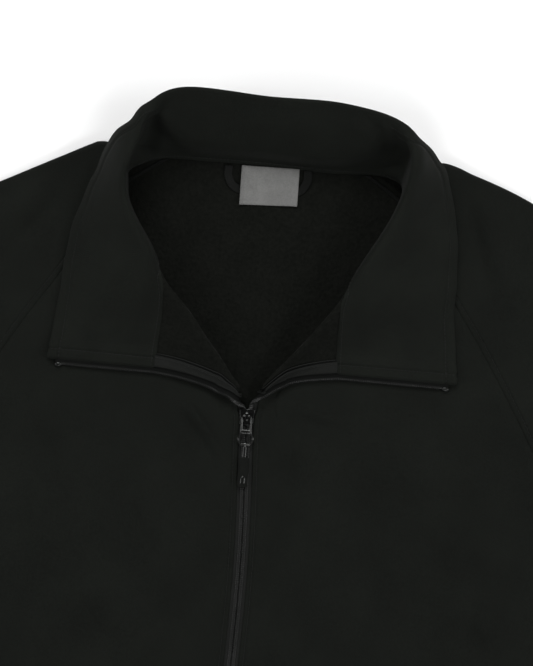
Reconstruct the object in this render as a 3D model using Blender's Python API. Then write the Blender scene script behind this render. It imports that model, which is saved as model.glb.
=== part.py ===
"""Softshell jacket laid flat on its back, zipped part of the way up, collar and fronts folded open.

+X runs towards the wearer's left sleeve, +Y towards the collar and +Z up from the surface it lies on.
Sizes and tables are in millimetres from the top of the zip's slider. The meshes are in metres, from a
point on the surface under the middle of the jacket.
"""

import math

import bmesh
import bpy
import numpy as np

MM = 0.001

# Driving dimensions
SHELL = 1.4  # thickness of the softshell cloth
THIN = 1.0  # thickness of the inner collar, facings, tapes, label and loop
SEAM = 0.3  # gap between sewn pieces
MIDDLE_Y = -190.0  # middle of the jacket's length, from the slider
HEM_Y = -600.0
HEM_HALF = 330.0
WAIST_HALF = 323.0
UNDERARM = (325.0, -205.0)
SLEEVE_LENGTH = 700.0  # shoulder point to cuff, along the top fold
SLEEVE_SLOPE = math.radians(33)  # of the top fold, below the line across the shoulders
CUFF = 125.0  # flat width of the cuff
SHOULDER = (235.0, 130.0)

# Heights of the middle of each layer above the surface
LOWER = SHELL / 2
UPPER = 4.6
STACKED = LOWER + SHELL + SEAM  # an upper layer's edge where it is sewn to the lower one
EDGE_DROP = 9.0  # width over which an upper layer comes down to such an edge

# Zip
CHAIN_HALF = 5.6  # front edge to the middle of the closed teeth
TAPE_UNDER = 9.0  # width of tape under the front edge
TAPE_GAP = SHELL / 2 + SEAM
TURN_CLEAR = 0.9  # how much further the strips stand off the cloth in the turn above the slider
COIL_WIDE = 2.65
COIL_RISE = 1.8
ZIP_BOW = 2.7  # how far the closed zip bows sideways
ZIP_BOW_LENGTH = 190.0
BOX_LENGTH = 9.0
TAPE_END = 5.0  # tape's end to the collar's free edge
STOP_LENGTH = 3.4
FACING = 7.5  # width of the facing along the opened zip
FACING_ROWS = 7  # rows of the front that it runs down from the neck

# Slider and pull
SLIDER_TOP = -0.8
SLIDER_END = -12.6
PULL_PIVOT = (0.0, -6.5, 8.05)
PULL_WIRE = 0.65
PULL_OUTLINE = (
    (2.7, -6.5), (3.1, -8.0), (3.2, -14.0), (3.4, -18.0), (5.2, -22.2), (3.6, -25.6), (1.6, -26.3),
)
TAB_PIVOT = (0.0, -26.3, 7.7)
TAB_END = -56.0
EYE_RADIUS = 1.5

# Label and hanger loop
LABEL_X = (-15.5, 24.5)
LABEL_Y = (141.5, 168.6)
LABEL_Z = 3.55
LOOP_WIDE = 5.0
LOOP_ROUTE = (
    (-25.0, 167.9, 3.6),
    (-24.5, 160.0, 2.9),
    (-18.0, 152.5, 2.3),
    (3.0, 149.5, 2.25),
    (24.0, 152.5, 2.3),
    (30.5, 160.0, 2.9),
    (31.0, 167.9, 3.6),
)

# The collar, a row for each section from the zip to the centre back, on each side.
# neck: the seam that it is sewn into. crest: the innermost point of its fold.
# lean and rise: the cloth's direction at the neck and at the crest, in degrees up from outwards.
# roll: length of the crest's handle. top: the free edge.
COLLAR_COLUMNS = (
    "neck_x", "neck_y", "neck_z", "lean", "crest_x", "crest_y", "crest_z", "rise", "roll",
    "top_x", "top_y", "top_z",
)
COLLAR_LEFT = (
    (60.9, 28.8, 8.0, 0, 60.9, 28.8, 8.0, 0, 20, 143.4, 27.0, 7.4),
    (60.1, 42.0, 10.8, -4, 60.1, 42.0, 10.8, -4, 20, 141.5, 50.0, 6.8),
    (59.8, 60.9, 20.5, 5, 59.8, 60.9, 20.5, 5, 18, 138.7, 74.0, 6.6),
    (60.5, 79.4, 32.0, 60, 60.5, 79.4, 32.0, 60, 11, 138.8, 100.0, 7.2),
    (73.0, 103.2, 27.0, 110, 71.9, 100.5, 33.0, 90, 15, 137.0, 124.9, 8.6),
    (89.2, 130.2, 19.0, 130, 86.3, 126.4, 34.0, 90, 18, 133.0, 146.6, 11.0),
    (100.4, 149.4, 14.0, 140, 95.0, 146.8, 35.0, 90, 20, 125.9, 169.9, 18.0),
    (99.2, 161.7, 10.0, 120, 99.2, 165.1, 38.0, 90, 20, 118.1, 181.3, 28.0),
    (89.0, 168.0, 6.0, 80, 98.5, 180.4, 41.0, 85, 12, 105.0, 192.3, 39.0),
    (73.1, 169.3, 3.0, 40, 85.6, 186.5, 30.0, 60, 10, 89.5, 200.9, 45.0),
    (46.1, 168.5, 2.2, 20, 48.6, 178.8, 18.0, 55, 12, 50.7, 210.3, 45.5),
    (0.0, 170.4, 2.0, 20, 0.0, 179.9, 17.0, 53, 12, 0.0, 212.6, 45.0),
)
COLLAR_RIGHT = (
    (-67.4, 24.5, 8.0, 0, -67.4, 24.5, 8.0, 0, 20, -140.6, 26.0, 7.4),
    (-66.3, 40.0, 10.8, -4, -66.3, 40.0, 10.8, -4, 20, -138.5, 49.0, 6.8),
    (-64.1, 61.9, 20.5, 5, -64.1, 61.9, 20.5, 5, 18, -135.5, 74.0, 6.6),
    (-64.5, 84.3, 32.0, 60, -64.5, 84.3, 32.0, 60, 11, -133.2, 97.0, 7.4),
    (-75.1, 105.6, 27.0, 110, -72.3, 103.9, 33.0, 90, 15, -129.2, 119.8, 9.0),
    (-91.5, 130.2, 19.0, 130, -88.8, 128.3, 34.0, 90, 18, -120.3, 144.5, 13.0),
    (-99.3, 147.4, 14.0, 140, -93.6, 145.3, 36.0, 90, 20, -112.3, 161.6, 22.0),
    (-96.7, 159.2, 10.0, 120, -91.2, 161.0, 41.0, 90, 18, -102.1, 177.3, 33.0),
    (-86.0, 166.5, 6.0, 80, -86.2, 177.3, 43.0, 88, 10, -92.6, 191.2, 41.0),
    (-70.2, 170.8, 3.0, 40, -77.2, 193.2, 40.0, 70, 8, -81.2, 202.4, 45.0),
    (-46.2, 170.9, 2.2, 20, -51.4, 181.8, 18.0, 55, 12, -55.9, 214.6, 46.0),
    (0.0, 170.4, 2.0, 20, 0.0, 179.9, 17.0, 53, 12, 0.0, 212.6, 45.0),
)
RAGLAN_FRONT_ROW = 6  # rows of the collar at which the raglan seams reach the neck
RAGLAN_BACK_ROW = 9

# The folded part of each front, a row for each step from the slider to the neck seam.
# edge: the cloth's edge along the zip. crest: the innermost point of the fold. roll: its handle.
LAPEL_COLUMNS = ("edge_x", "edge_y", "edge_z", "crest_x", "crest_y", "crest_z", "roll")
LAPEL_LEFT = (
    (7.4, -0.5, 4.6, 13.0, 0.0, 4.6, 0.0),
    (9.0, 11.2, 11.4, 9.6, 13.0, 11.2, 2.0),
    (16.8, 18.3, 11.1, 15.8, 23.5, 14.0, 4.0),
    (27.0, 23.0, 9.0, 25.7, 34.5, 17.5, 6.0),
    (37.5, 25.6, 8.6, 35.2, 46.1, 21.5, 8.0),
    (48.9, 27.3, 8.2, 47.4, 61.4, 27.0, 9.0),
    (60.9, 28.8, 8.0, 60.5, 79.4, 32.0, 10.0),
)
LAPEL_RIGHT = (
    (-7.4, -0.5, 4.6, -13.0, 0.0, 4.6, 0.0),
    (-8.7, 9.6, 11.1, -7.3, 12.8, 11.2, 2.0),
    (-18.2, 13.8, 11.1, -13.7, 22.2, 14.0, 4.0),
    (-28.9, 17.3, 9.0, -22.2, 34.2, 17.5, 6.0),
    (-40.2, 20.3, 8.6, -32.5, 47.1, 21.5, 8.0),
    (-52.7, 22.7, 8.2, -45.1, 63.8, 27.0, 9.0),
    (-67.4, 24.5, 8.0, -64.5, 84.3, 32.0, 10.0),
)

# Raglan seams for the +X side, from the neck to the underarm. The neck end comes from the collar.
# Columns: x, y, z.
RAGLAN_FRONT = (
    (109.5, 135.0, 8.8),
    (118.5, 118.0, 5.6),
    (137.0, 86.0, 4.7),
    (158.0, 55.0, 4.6),
    (190.0, 2.5, 4.6),
    (205.0, -24.0, 4.6),
    (268.0, -122.0, 4.6),
    (309.0, -183.0, 4.0),
    (325.0, -205.0, 2.4),
)
RAGLAN_BACK = (
    (95.0, 154.3, 0.7),
    (140.0, 112.0, 0.7),
    (200.0, 30.0, 0.7),
    (262.0, -80.0, 0.7),
    (325.0, -205.0, 0.7),
)

# The fold over each shoulder, from the neck to the shoulder point.
# Columns: x, y, z of its outer line, and its half height.
FOLD_LEFT = (
    (107.0, 176.0, 7.0, 3.0),
    (121.0, 180.5, 4.6, 2.9),
    (147.0, 172.5, 2.9, 2.2),
    (173.0, 163.0, 2.65, 1.95),
    (235.0, 130.0, 2.65, 1.95),
)
FOLD_RIGHT = (
    (-105.0, 172.0, 7.0, 3.0),
    (-116.0, 176.5, 4.6, 2.9),
    (-140.0, 166.5, 2.9, 2.2),
    (-184.0, 144.5, 2.65, 1.95),
    (-235.0, 121.0, 2.65, 1.95),
)

# The largest soft folds of the upper layers.
# Columns: x, y where it starts, x, y where it ends, its width and its height.
FRONT_RIDGES = (
    (166.0, -146.0, 215.0, -128.0, 26.0, 2.6),
    (86.0, -8.0, 140.0, -70.0, 34.0, 2.2),
    (-150.0, -40.0, -95.0, -130.0, 34.0, 2.4),
    (-205.0, -250.0, -120.0, -290.0, 38.0, 3.0),
    (120.0, -330.0, 215.0, -300.0, 38.0, 2.8),
    (-90.0, -430.0, -215.0, -455.0, 36.0, 2.6),
    (75.0, -480.0, 190.0, -505.0, 36.0, 2.4),
)
SLEEVE_RIDGES = (
    (300.0, -40.0, 360.0, -125.0, 26.0, 3.0),
    (400.0, -60.0, 470.0, -150.0, 28.0, 3.2),
    (520.0, -130.0, 575.0, -215.0, 26.0, 2.6),
    (620.0, -190.0, 690.0, -280.0, 24.0, 2.4),
)

# Grid of each panel
LAPEL_CELLS = 4  # zip edge to crest
ROLL_CELLS = 5  # crest to the foot of the fold
FLAT_CELLS = 6  # foot to the outer seam
LAPEL_ROWS = 9
ARM_ROWS = 6  # slider to underarm
SIDE_ROWS = 9  # underarm to hem
SLEEVE_CELLS = 4  # across each half of a sleeve
FOLD_CELLS = 4
SLEEVE_ROWS = 12  # underarm to cuff
BACK_CELLS = 10
COLLAR_CELLS = 13  # neck seam to free edge
TURN_SHARE = 1.3  # how much a half turn counts in the spacing of the cells, against the whole length

CLOTH = ((0.0103, 0.0116, 0.0097), 0.85, 0.0)
FLEECE = ((0.0075, 0.0075, 0.0065), 0.95, 0.0)
TAPE = ((0.0080, 0.0080, 0.0075), 0.80, 0.0)
BLACK_METAL = ((0.02, 0.02, 0.02), 0.25, 0.9)
RUBBER = ((0.012, 0.012, 0.012), 0.55, 0.0)
GREY_WEAVE = ((0.17, 0.17, 0.17), 0.7, 0.0)


# Curves and grids

def unit(vectors):
    return vectors / np.linalg.norm(vectors, axis=-1, keepdims=True)


def columns(names, table):
    """The table as a dictionary of columns, with x, y, z columns of one name also joined as points."""
    values = dict(zip(names, np.asarray(table, float).T))
    for name in names:
        if name.endswith("_x") and name[:-1] + "z" in values:
            values[name[:-2]] = np.stack([values[name[:-1] + axis] for axis in "xyz"], axis=-1)
    return values


def through(rows, at, knots=None):
    """A cubic through the rows, each given at its knot (its index unless stated), read at the values."""
    rows = np.asarray(rows, float)
    knots = np.arange(len(rows), dtype=float) if knots is None else knots
    slopes = np.gradient(rows, knots, axis=0)
    at = np.asarray(at, float)
    i = np.clip(np.searchsorted(knots, at, side="right") - 1, 0, len(rows) - 2)
    span = (knots[i + 1] - knots[i]).reshape(-1, *[1] * (rows.ndim - 1))
    t = (at - knots[i]).reshape(span.shape) / span
    return (
        (1 + 2 * t) * (1 - t) ** 2 * rows[i]
        + t * (1 - t) ** 2 * span * slopes[i]
        + t * t * (3 - 2 * t) * rows[i + 1]
        - t * t * (1 - t) * span * slopes[i + 1]
    )


def lengths(path):
    """Distance along a path at each of its points."""
    steps = np.linalg.norm(np.diff(path, axis=0), axis=1)
    return np.concatenate([[0.0], np.cumsum(steps)])


def along(path, fractions):
    """Points of a path at these fractions of its length."""
    far = lengths(path)
    at = np.asarray(fractions) * far[-1]
    return np.stack([np.interp(at, far, path[:, axis]) for axis in range(3)], axis=-1)


def spaced(path, cells):
    """Points of a path, closer together where it turns."""
    ahead = unit(np.diff(path, axis=0))
    turns = np.arccos(np.clip(np.sum(ahead[1:] * ahead[:-1], axis=1), -1, 1))
    far = lengths(path)
    weight = far / far[-1] + TURN_SHARE / math.pi * np.cumsum([0, *turns, 0])
    at = np.linspace(0, weight[-1], cells + 1)
    return np.stack([np.interp(at, weight, path[:, axis]) for axis in range(3)], axis=-1)


def bezier(start, first, second, end, count):
    t = np.linspace(0, 1, count)[:, None]
    return (
        (1 - t) ** 3 * start
        + 3 * (1 - t) ** 2 * t * first
        + 3 * (1 - t) * t * t * second
        + t**3 * end
    )


def smooth_step(value):
    value = np.clip(value, 0, 1)
    return value * value * (3 - 2 * value)


def normals_of(points, inside):
    """Unit normals of a grid, towards the cloth's inside. inside is 1 or -1 for the grid's own turn."""
    rows = np.gradient(points, axis=0)
    across = np.gradient(points, axis=1)
    return inside * unit(np.cross(across, rows))


def ridges(x, y, table):
    """Height added by the soft folds of a table: each a bell across its line, fading at its ends."""
    height = np.zeros_like(x)
    for from_x, from_y, to_x, to_y, width, rise in table:
        line = np.array([to_x - from_x, to_y - from_y])
        long = np.linalg.norm(line)
        ahead = ((x - from_x) * line[0] + (y - from_y) * line[1]) / long
        side = ((y - from_y) * line[0] - (x - from_x) * line[1]) / long
        past = np.maximum(np.maximum(-ahead, ahead - long), 0)
        height += rise * np.exp(-(side**2 + past**2) / width**2)
    return height


# The neck seam and the collar

def collar_table(side):
    return columns(COLLAR_COLUMNS, COLLAR_LEFT if side > 0 else COLLAR_RIGHT)


CENTRE_ROW = len(COLLAR_LEFT) - 1
NECK = np.concatenate([collar_table(1)["neck"], collar_table(-1)["neck"][-2::-1]])


def neck_seam(rows):
    """Points of the neck seam at rows of the collar, counted from the left front round to the right."""
    return through(NECK, rows)


def collar_section(neck, lean, crest, rise, roll, top):
    """One section of the collar, as a fine path from the neck seam over its crest to its free edge."""
    out = unit((top - crest) * (1, 1, 0))
    up = np.array([0.0, 0.0, 1.0])
    leaving = out * math.cos(math.radians(lean)) + up * math.sin(math.radians(lean))
    rising = out * math.cos(math.radians(rise)) + up * math.sin(math.radians(rise))
    stand = np.linalg.norm(crest - neck)
    above = crest + rising * roll
    fall = bezier(crest, above, top + 0.45 * (above - top), top, 40)
    if stand < 0.5:
        return fall
    foot = bezier(neck, neck + leaving * 0.4 * stand, crest - rising * 0.4 * stand, crest, 20)
    return np.concatenate([foot, fall[1:]])


def collar_grid(rows, cells):
    """The collar's outer layer: points from the neck to the free edge, at each row value."""
    left, right = collar_table(1), collar_table(-1)
    names = ("neck", "lean", "crest", "rise", "roll", "top")
    values = [through(np.concatenate([left[name], right[name][-2::-1]]), rows) for name in names]
    return np.stack([spaced(collar_section(*section), cells) for section in zip(*values)])


# Raglan seams and the fold over the shoulder

def mirrored(table, side):
    return np.asarray(table, float) * (side, 1, 1)


def seam_row(side, row):
    """Neck seam row on this side: the left half counts up to the centre back, the right one down."""
    return row if side > 0 else 2 * CENTRE_ROW - row


def raglan(side, table, row, fractions):
    """Points of a raglan seam from its neck row to the underarm."""
    rows = np.concatenate([neck_seam([seam_row(side, row)]), mirrored(table, side)])
    knots = lengths(rows)
    points = through(rows, np.asarray(fractions) * knots[-1], knots)
    points[:, 2] = np.maximum(points[:, 2], LOWER)
    return points


def raglan_stations():
    """Fractions of the raglan seams at which all their panels have a point, neck to underarm."""
    rows = raglan(1, RAGLAN_FRONT, RAGLAN_FRONT_ROW, np.linspace(0, 1, 400))
    level = np.interp(0.0, -rows[:, 1], np.linspace(0, 1, 400))
    return np.concatenate([
        np.linspace(0, level, LAPEL_ROWS + 1),
        np.linspace(level, 1, ARM_ROWS + 1)[1:],
    ])


# The panels. Each gives a grid of points at the middle of the cloth.

def zip_line(y):
    """Sideways place of the closed zip."""
    t = np.clip((-y - 14.0) / ZIP_BOW_LENGTH, 0, 1)
    return ZIP_BOW * np.sin(math.pi * t) ** 1.2


def roll_path(edge, crest, roll, outer, reach, lift):
    """One row of a front: from the zip edge up to the crest, under it to the foot, out to the seam.

    lift is 1 where the edge stands up in its turn above the slider, and 0 where it lies flat.
    """
    up = np.array([0.0, 0.0, 1.0])
    out = unit((outer - crest) * (1, 1, 0))
    foot = crest + out * reach
    foot[2] = outer[2]
    drop = crest[2] - foot[2]
    leaving = 0.35 * (crest - edge) * (1, 1, lift)
    folded = bezier(edge, edge + leaving, crest + up * roll, crest, 24)
    under = bezier(crest, crest - up * 0.5 * drop, foot - out * 0.5 * reach, foot, 24)
    flat = np.linspace(foot, outer, 24)
    return (
        along(folded, np.linspace(0, 1, LAPEL_CELLS + 1)),
        along(under, np.linspace(0, 1, ROLL_CELLS + 1)[1:]),
        along(flat, flat_fractions(np.linalg.norm(outer - foot))[1:]),
    )


def flat_fractions(length):
    """Places across the flat part of a front, the last but one where the edge starts to come down."""
    return np.append(np.linspace(0, 1 - EDGE_DROP / length, FLAT_CELLS), 1.0)


def front_grid(side):
    """A front: rows from the neck seam down to the hem, columns from the zip to the outer seam."""
    table = columns(LAPEL_COLUMNS, LAPEL_LEFT if side > 0 else LAPEL_RIGHT)
    stations = raglan_stations()
    outer = raglan(side, RAGLAN_FRONT, RAGLAN_FRONT_ROW, stations)
    steps = np.linspace(len(LAPEL_LEFT) - 1, 0, LAPEL_ROWS + 1)
    edges = through(table["edge"], steps)
    crests = through(table["crest"], steps)
    rolls = np.interp(steps, np.arange(len(LAPEL_LEFT)), table["roll"])
    rows = []
    lifts = np.clip(2 - steps, 0, 1)
    for edge, crest, roll, end, lift in zip(edges, crests, rolls, outer, lifts):
        reach = 3.0 + 1.35 * (crest[2] - UPPER)
        rows.append(np.concatenate(roll_path(edge, crest, roll, end, reach, lift)))
    lapel = np.stack(rows)
    lapel += neck_correction(side, lapel[0])[None] * smooth_step((steps - 3.5) / 2.5)[:, None, None]

    below = np.concatenate([outer[LAPEL_ROWS + 1:], side_seam(side, STACKED)[1:]])
    flat = []
    for end in below:
        start = np.array([side * CHAIN_HALF + zip_line(end[1]), end[1], UPPER])
        near = np.linspace(start, start + (side * CHAIN_HALF, 0, 0), LAPEL_CELLS + 1)
        next_to = np.linspace(near[-1], near[-1] + (side * 10, 0, 0), ROLL_CELLS + 1)[1:]
        last = next_to[-1].copy()
        shelf = flat_fractions(abs(end[0] - last[0]))[1:, None]
        rest = last + (end - last) * shelf
        rest[:-1, 2] = UPPER
        flat.append(np.concatenate([near, next_to, rest]))
    grid = np.concatenate([lapel, np.stack(flat)])
    grid = with_slider_row(grid, side)
    free = smooth_step((side * grid[..., 0] - 60) / 40) * smooth_step((-grid[..., 1] - 4) / 40)
    free[:, -2:] = 0
    grid[..., 2] += free * ridges(grid[..., 0], grid[..., 1], FRONT_RIDGES)
    return grid


def with_slider_row(grid, side):
    """The grid with one more row level with the slider's foot, where the fronts meet the closed zip."""
    above = grid[LAPEL_ROWS]
    row = above + (grid[LAPEL_ROWS + 1] - above) * 0.3
    shift = side * CHAIN_HALF + zip_line(row[0, 1]) - row[0, 0]
    row[: LAPEL_CELLS + 1, 0] += shift
    return np.insert(grid, LAPEL_ROWS + 1, row, axis=0)


def neck_correction(side, top):
    """What moves the top row of a front onto the neck seam."""
    cells = np.concatenate([
        np.linspace(0, 3, LAPEL_CELLS + 1),
        3 + np.linspace(0, 1, ROLL_CELLS + FLAT_CELLS + 1)[1:] * (RAGLAN_FRONT_ROW - 3),
    ])
    return neck_seam(seam_row(side, cells)) - top


def side_seam(side, height):
    """Points of a side seam from the underarm to the hem."""
    y = np.linspace(UNDERARM[1], HEM_Y, SIDE_ROWS + 1)
    knots = np.array([HEM_Y, 0.5 * (HEM_Y + UNDERARM[1]), UNDERARM[1]])
    x = through([HEM_HALF, WAIST_HALF, UNDERARM[0]], y, knots)
    return np.stack([side * x, y, np.full_like(y, height)], axis=-1)


def back_grid():
    """The back: rows from the neck seam down to the hem, columns from the left seam to the right."""
    stations = raglan_stations()
    ends = {}
    for side in (1, -1):
        ends[side] = np.concatenate([
            raglan(side, RAGLAN_BACK, RAGLAN_BACK_ROW, stations),
            side_seam(side, LOWER)[1:],
        ])
    across = np.linspace(0, 1, BACK_CELLS + 1)[None, :, None]
    grid = ends[1][:, None] * (1 - across) + ends[-1][:, None] * across
    first = RAGLAN_BACK_ROW
    top = neck_seam(np.linspace(first, 2 * CENTRE_ROW - first, BACK_CELLS + 1))
    grid[0] = top
    return grid


def cuff_ends(side):
    """Top and bottom corners of a cuff."""
    along_fold = np.array([math.cos(SLEEVE_SLOPE), -math.sin(SLEEVE_SLOPE)])
    across = np.array([-math.sin(SLEEVE_SLOPE), -math.cos(SLEEVE_SLOPE)])
    top = np.array(SHOULDER) + along_fold * SLEEVE_LENGTH
    bottom = top + across * CUFF
    return top * (side, 1), bottom * (side, 1)


def sleeve_row(front, fold, back):
    """One row of a sleeve: the upper half to the fold, round it, and back along the lower half."""
    line, z, half = fold[:2], fold[2], fold[3]
    inward = unit((front[:2] + back[:2]) / 2 - line)
    angles = np.linspace(math.pi / 2, -math.pi / 2, FOLD_CELLS + 1)
    centre = line + inward * half
    bend = np.column_stack([
        centre - np.cos(angles)[:, None] * inward * half,
        z + np.sin(angles) * half,
    ])
    upper_length = np.linalg.norm(bend[0] - front)
    shelf = np.append(0.0, np.linspace(min(0.25, EDGE_DROP / upper_length), 1, SLEEVE_CELLS))
    upper = front + (bend[0] - front) * shelf[:, None]
    slope = np.clip((shelf[1:-1] - shelf[1]) / (1 - shelf[1]), 0, 1)
    settled = UPPER + (bend[0, 2] - UPPER) * slope**2
    near_neck = smooth_step((front[2] - UPPER) / 3)
    upper[1:-1, 2] = np.where(near_neck > 0, upper[1:-1, 2], settled)
    lower = np.linspace(bend[-1], back, SLEEVE_CELLS + 1)
    return np.concatenate([upper, bend[1:-1], lower])


def sleeve_grid(side):
    """A sleeve: rows from the neck seam to the cuff, columns from the front seam round to the back."""
    stations = raglan_stations()
    front = raglan(side, RAGLAN_FRONT, RAGLAN_FRONT_ROW, stations)
    back = raglan(side, RAGLAN_BACK, RAGLAN_BACK_ROW, stations)
    top, bottom = cuff_ends(side)
    shoulder = np.asarray(FOLD_LEFT if side > 0 else FOLD_RIGHT)
    cuff_fold = np.array([*top, (UPPER + LOWER) / 2, (UPPER - LOWER) / 2])
    bend = shoulder[-1] + (cuff_fold - shoulder[-1]) * 0.12
    path = np.concatenate([shoulder, [bend, cuff_fold]])
    knots = lengths(path[:, :3])
    upper_arm = knots[len(shoulder) - 1] + 150.0
    rows = len(stations) + SLEEVE_ROWS
    at = np.concatenate([
        np.linspace(0, upper_arm, len(stations)) ** 1.15 * upper_arm**-0.15,
        np.linspace(upper_arm, knots[-1], SLEEVE_ROWS + 1)[1:],
    ])
    folds = np.stack([np.interp(at, knots, path[:, i]) for i in range(4)], axis=-1)
    folds[:, :3] = through(path[:, :3], at, knots)
    folds[:, 2] = np.maximum(folds[:, 2], LOWER + folds[:, 3])
    arm = np.linspace(0, 1, SLEEVE_ROWS + 1)[1:, None]
    start = np.array(UNDERARM) * (side, 1)
    seam = start + (bottom - start) * arm
    front = np.concatenate([front, np.column_stack([seam, np.full(len(seam), STACKED)])])
    back = np.concatenate([back, np.column_stack([seam, np.full(len(seam), LOWER)])])
    grid = np.stack([sleeve_row(front[i], folds[i], back[i]) for i in range(rows)])
    cap = np.linspace(RAGLAN_FRONT_ROW, RAGLAN_BACK_ROW, grid.shape[1])
    correction = neck_seam(seam_row(side, cap)) - grid[0]
    fade = np.array([1.0, 0.35, 0.08])
    grid[:3] += correction[None] * fade[:, None, None]
    grid[1:len(stations), 0] = front[1:len(stations)]
    grid[1:len(stations), -1] = back[1:len(stations)]
    free = smooth_step((np.arange(rows) - 7) / 4)[:, None] * np.ones(grid.shape[1])
    free[:, SLEEVE_CELLS - 1:] = 0
    free[:, :2] = 0
    x = side * grid[..., 0]
    grid[..., 2] += free * ridges(x, grid[..., 1], SLEEVE_RIDGES)
    return grid


# Building the solids

def material(name, look):
    colour, roughness, metallic = look
    made = bpy.data.materials.new(name)
    made.use_nodes = True
    shader = made.node_tree.nodes["Principled BSDF"]
    shader.inputs["Base Color"].default_value = (*colour, 1.0)
    shader.inputs["Roughness"].default_value = roughness
    shader.inputs["Metallic"].default_value = metallic
    made.diffuse_color = (*colour, 1.0)
    return made


def placed(points):
    """Millimetres from the slider to metres from the middle of the jacket."""
    return (np.asarray(points, float) - (0, MIDDLE_Y, 0)) * MM


def add_object(name, points, faces, look, smooth=True):
    mesh = bpy.data.meshes.new(name)
    mesh.from_pydata(placed(points).tolist(), [], faces)
    shape = bmesh.new()
    shape.from_mesh(mesh)
    bmesh.ops.recalc_face_normals(shape, faces=shape.faces)
    shape.to_mesh(mesh)
    shape.free()
    if smooth:
        mesh.shade_smooth()
        mesh.set_sharp_from_angle(angle=math.radians(50))
    obj = bpy.data.objects.new(name, mesh)
    obj.data.materials.append(material(name, look))
    bpy.context.scene.collection.objects.link(obj)
    return obj


def trimmed(grid, first_row=False, first_column=False, last_column=False, half=SEAM / 2):
    """The grid with these edges drawn back by half of a seam's gap."""
    grid = grid.copy()
    if first_row:
        grid[0] += unit(grid[1] - grid[0]) * half
    if first_column:
        grid[:, 0] += unit(grid[:, 1] - grid[:, 0]) * half
    if last_column:
        grid[:, -1] += unit(grid[:, -2] - grid[:, -1]) * half
    return grid


def cloth(name, grid, normals, look, thick=SHELL, offset=0.0):
    """A closed wall on a grid: each point moved along its normal by half of the cloth each way."""
    rows, across = grid.shape[:2]
    skins = [grid + normals * (offset + sign * thick / 2) for sign in (-1, 1)]
    points = np.concatenate([skin.reshape(-1, 3) for skin in skins])
    index = np.arange(rows * across).reshape(rows, across)
    far = rows * across
    near, further = index[:-1, :-1], index[1:, 1:]
    skin = np.concatenate([
        np.stack([near, index[1:, :-1], further], axis=-1).reshape(-1, 3),
        np.stack([near, further, index[:-1, 1:]], axis=-1).reshape(-1, 3),
    ])
    faces = skin.tolist() + (skin[:, ::-1] + far).tolist()
    rim = np.concatenate([index[0], index[1:, -1], index[-1, -2::-1], index[-2:0:-1, 0]])
    ahead = np.roll(rim, -1)
    faces += np.stack([rim, ahead, ahead + far], axis=-1).tolist()
    faces += np.stack([rim, ahead + far, rim + far], axis=-1).tolist()
    return add_object(name, points, faces, look)


def carried(name, profile, places, side, up, look, closed=False):
    """A closed solid: a profile of (side, up) points carried along a path of places."""
    rings = places[:, None] + profile[None, :, :1] * side[:, None] + profile[None, :, 1:] * up[:, None]
    count, points = rings.shape[:2]
    faces = []
    for i in range(count if closed else count - 1):
        for j in range(points):
            k = (j + 1) % points
            n = (i + 1) % count
            faces.append((i * points + j, i * points + k, n * points + k, n * points + j))
    if not closed:
        faces.append(tuple(range(points)))
        faces.append(tuple(range((count - 1) * points, count * points)))
    return add_object(name, rings.reshape(-1, 3), faces, look)


def tube(name, path, radius, look, closed=False, sides=8):
    """A round rod along a path that lies nearly flat."""
    turn = np.linspace(0, 2 * math.pi, sides, endpoint=False)
    profile = radius * np.stack([np.cos(turn), np.sin(turn)], axis=-1)
    ahead = np.roll(path, -1, axis=0) - np.roll(path, 1, axis=0) if closed else np.gradient(path, axis=0)
    ahead = unit(ahead)
    side = unit(np.cross(ahead, (0.0, 0.0, 1.0)))
    return carried(name, profile, path, side, np.cross(side, ahead), look, closed)


def box(name, low, high, look):
    low, high = np.asarray(low, float), np.asarray(high, float)
    pick = np.array([(x, y, z) for x in (0, 1) for y in (0, 1) for z in (0, 1)])
    faces = [(0, 1, 3, 2), (4, 6, 7, 5), (0, 4, 5, 1), (2, 3, 7, 6), (0, 2, 6, 4), (1, 5, 7, 3)]
    return add_object(name, low + pick * (high - low), faces, look, smooth=False)


def join(target, tools):
    """Joins the tools to the target with unions, keeping the tools as hidden guides."""
    for tool in tools:
        tool.hide_render = True
        tool.display_type = "WIRE"
        union = target.modifiers.new("with " + tool.name, "BOOLEAN")
        union.operation = "UNION"
        union.solver = "EXACT"
        union.object = tool


def about(obj, place):
    """Moves an object's origin to a place, and leaves its shape where it is."""
    origin = placed(place)
    for vertex in obj.data.vertices:
        vertex.co = [vertex.co[axis] - origin[axis] for axis in range(3)]
    obj.location = origin


# Panels

def seam_rows(grid_columns, side, piece):
    """Row values along the neck seam at the top of a front or of a sleeve."""
    if piece == "front":
        cells = np.concatenate([
            np.linspace(0, 3, LAPEL_CELLS + 1),
            3 + np.linspace(0, 1, ROLL_CELLS + FLAT_CELLS + 1)[1:] * (RAGLAN_FRONT_ROW - 3),
        ])
    else:
        cells = np.linspace(RAGLAN_FRONT_ROW, RAGLAN_BACK_ROW, grid_columns)
    return seam_row(side, cells)


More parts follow.
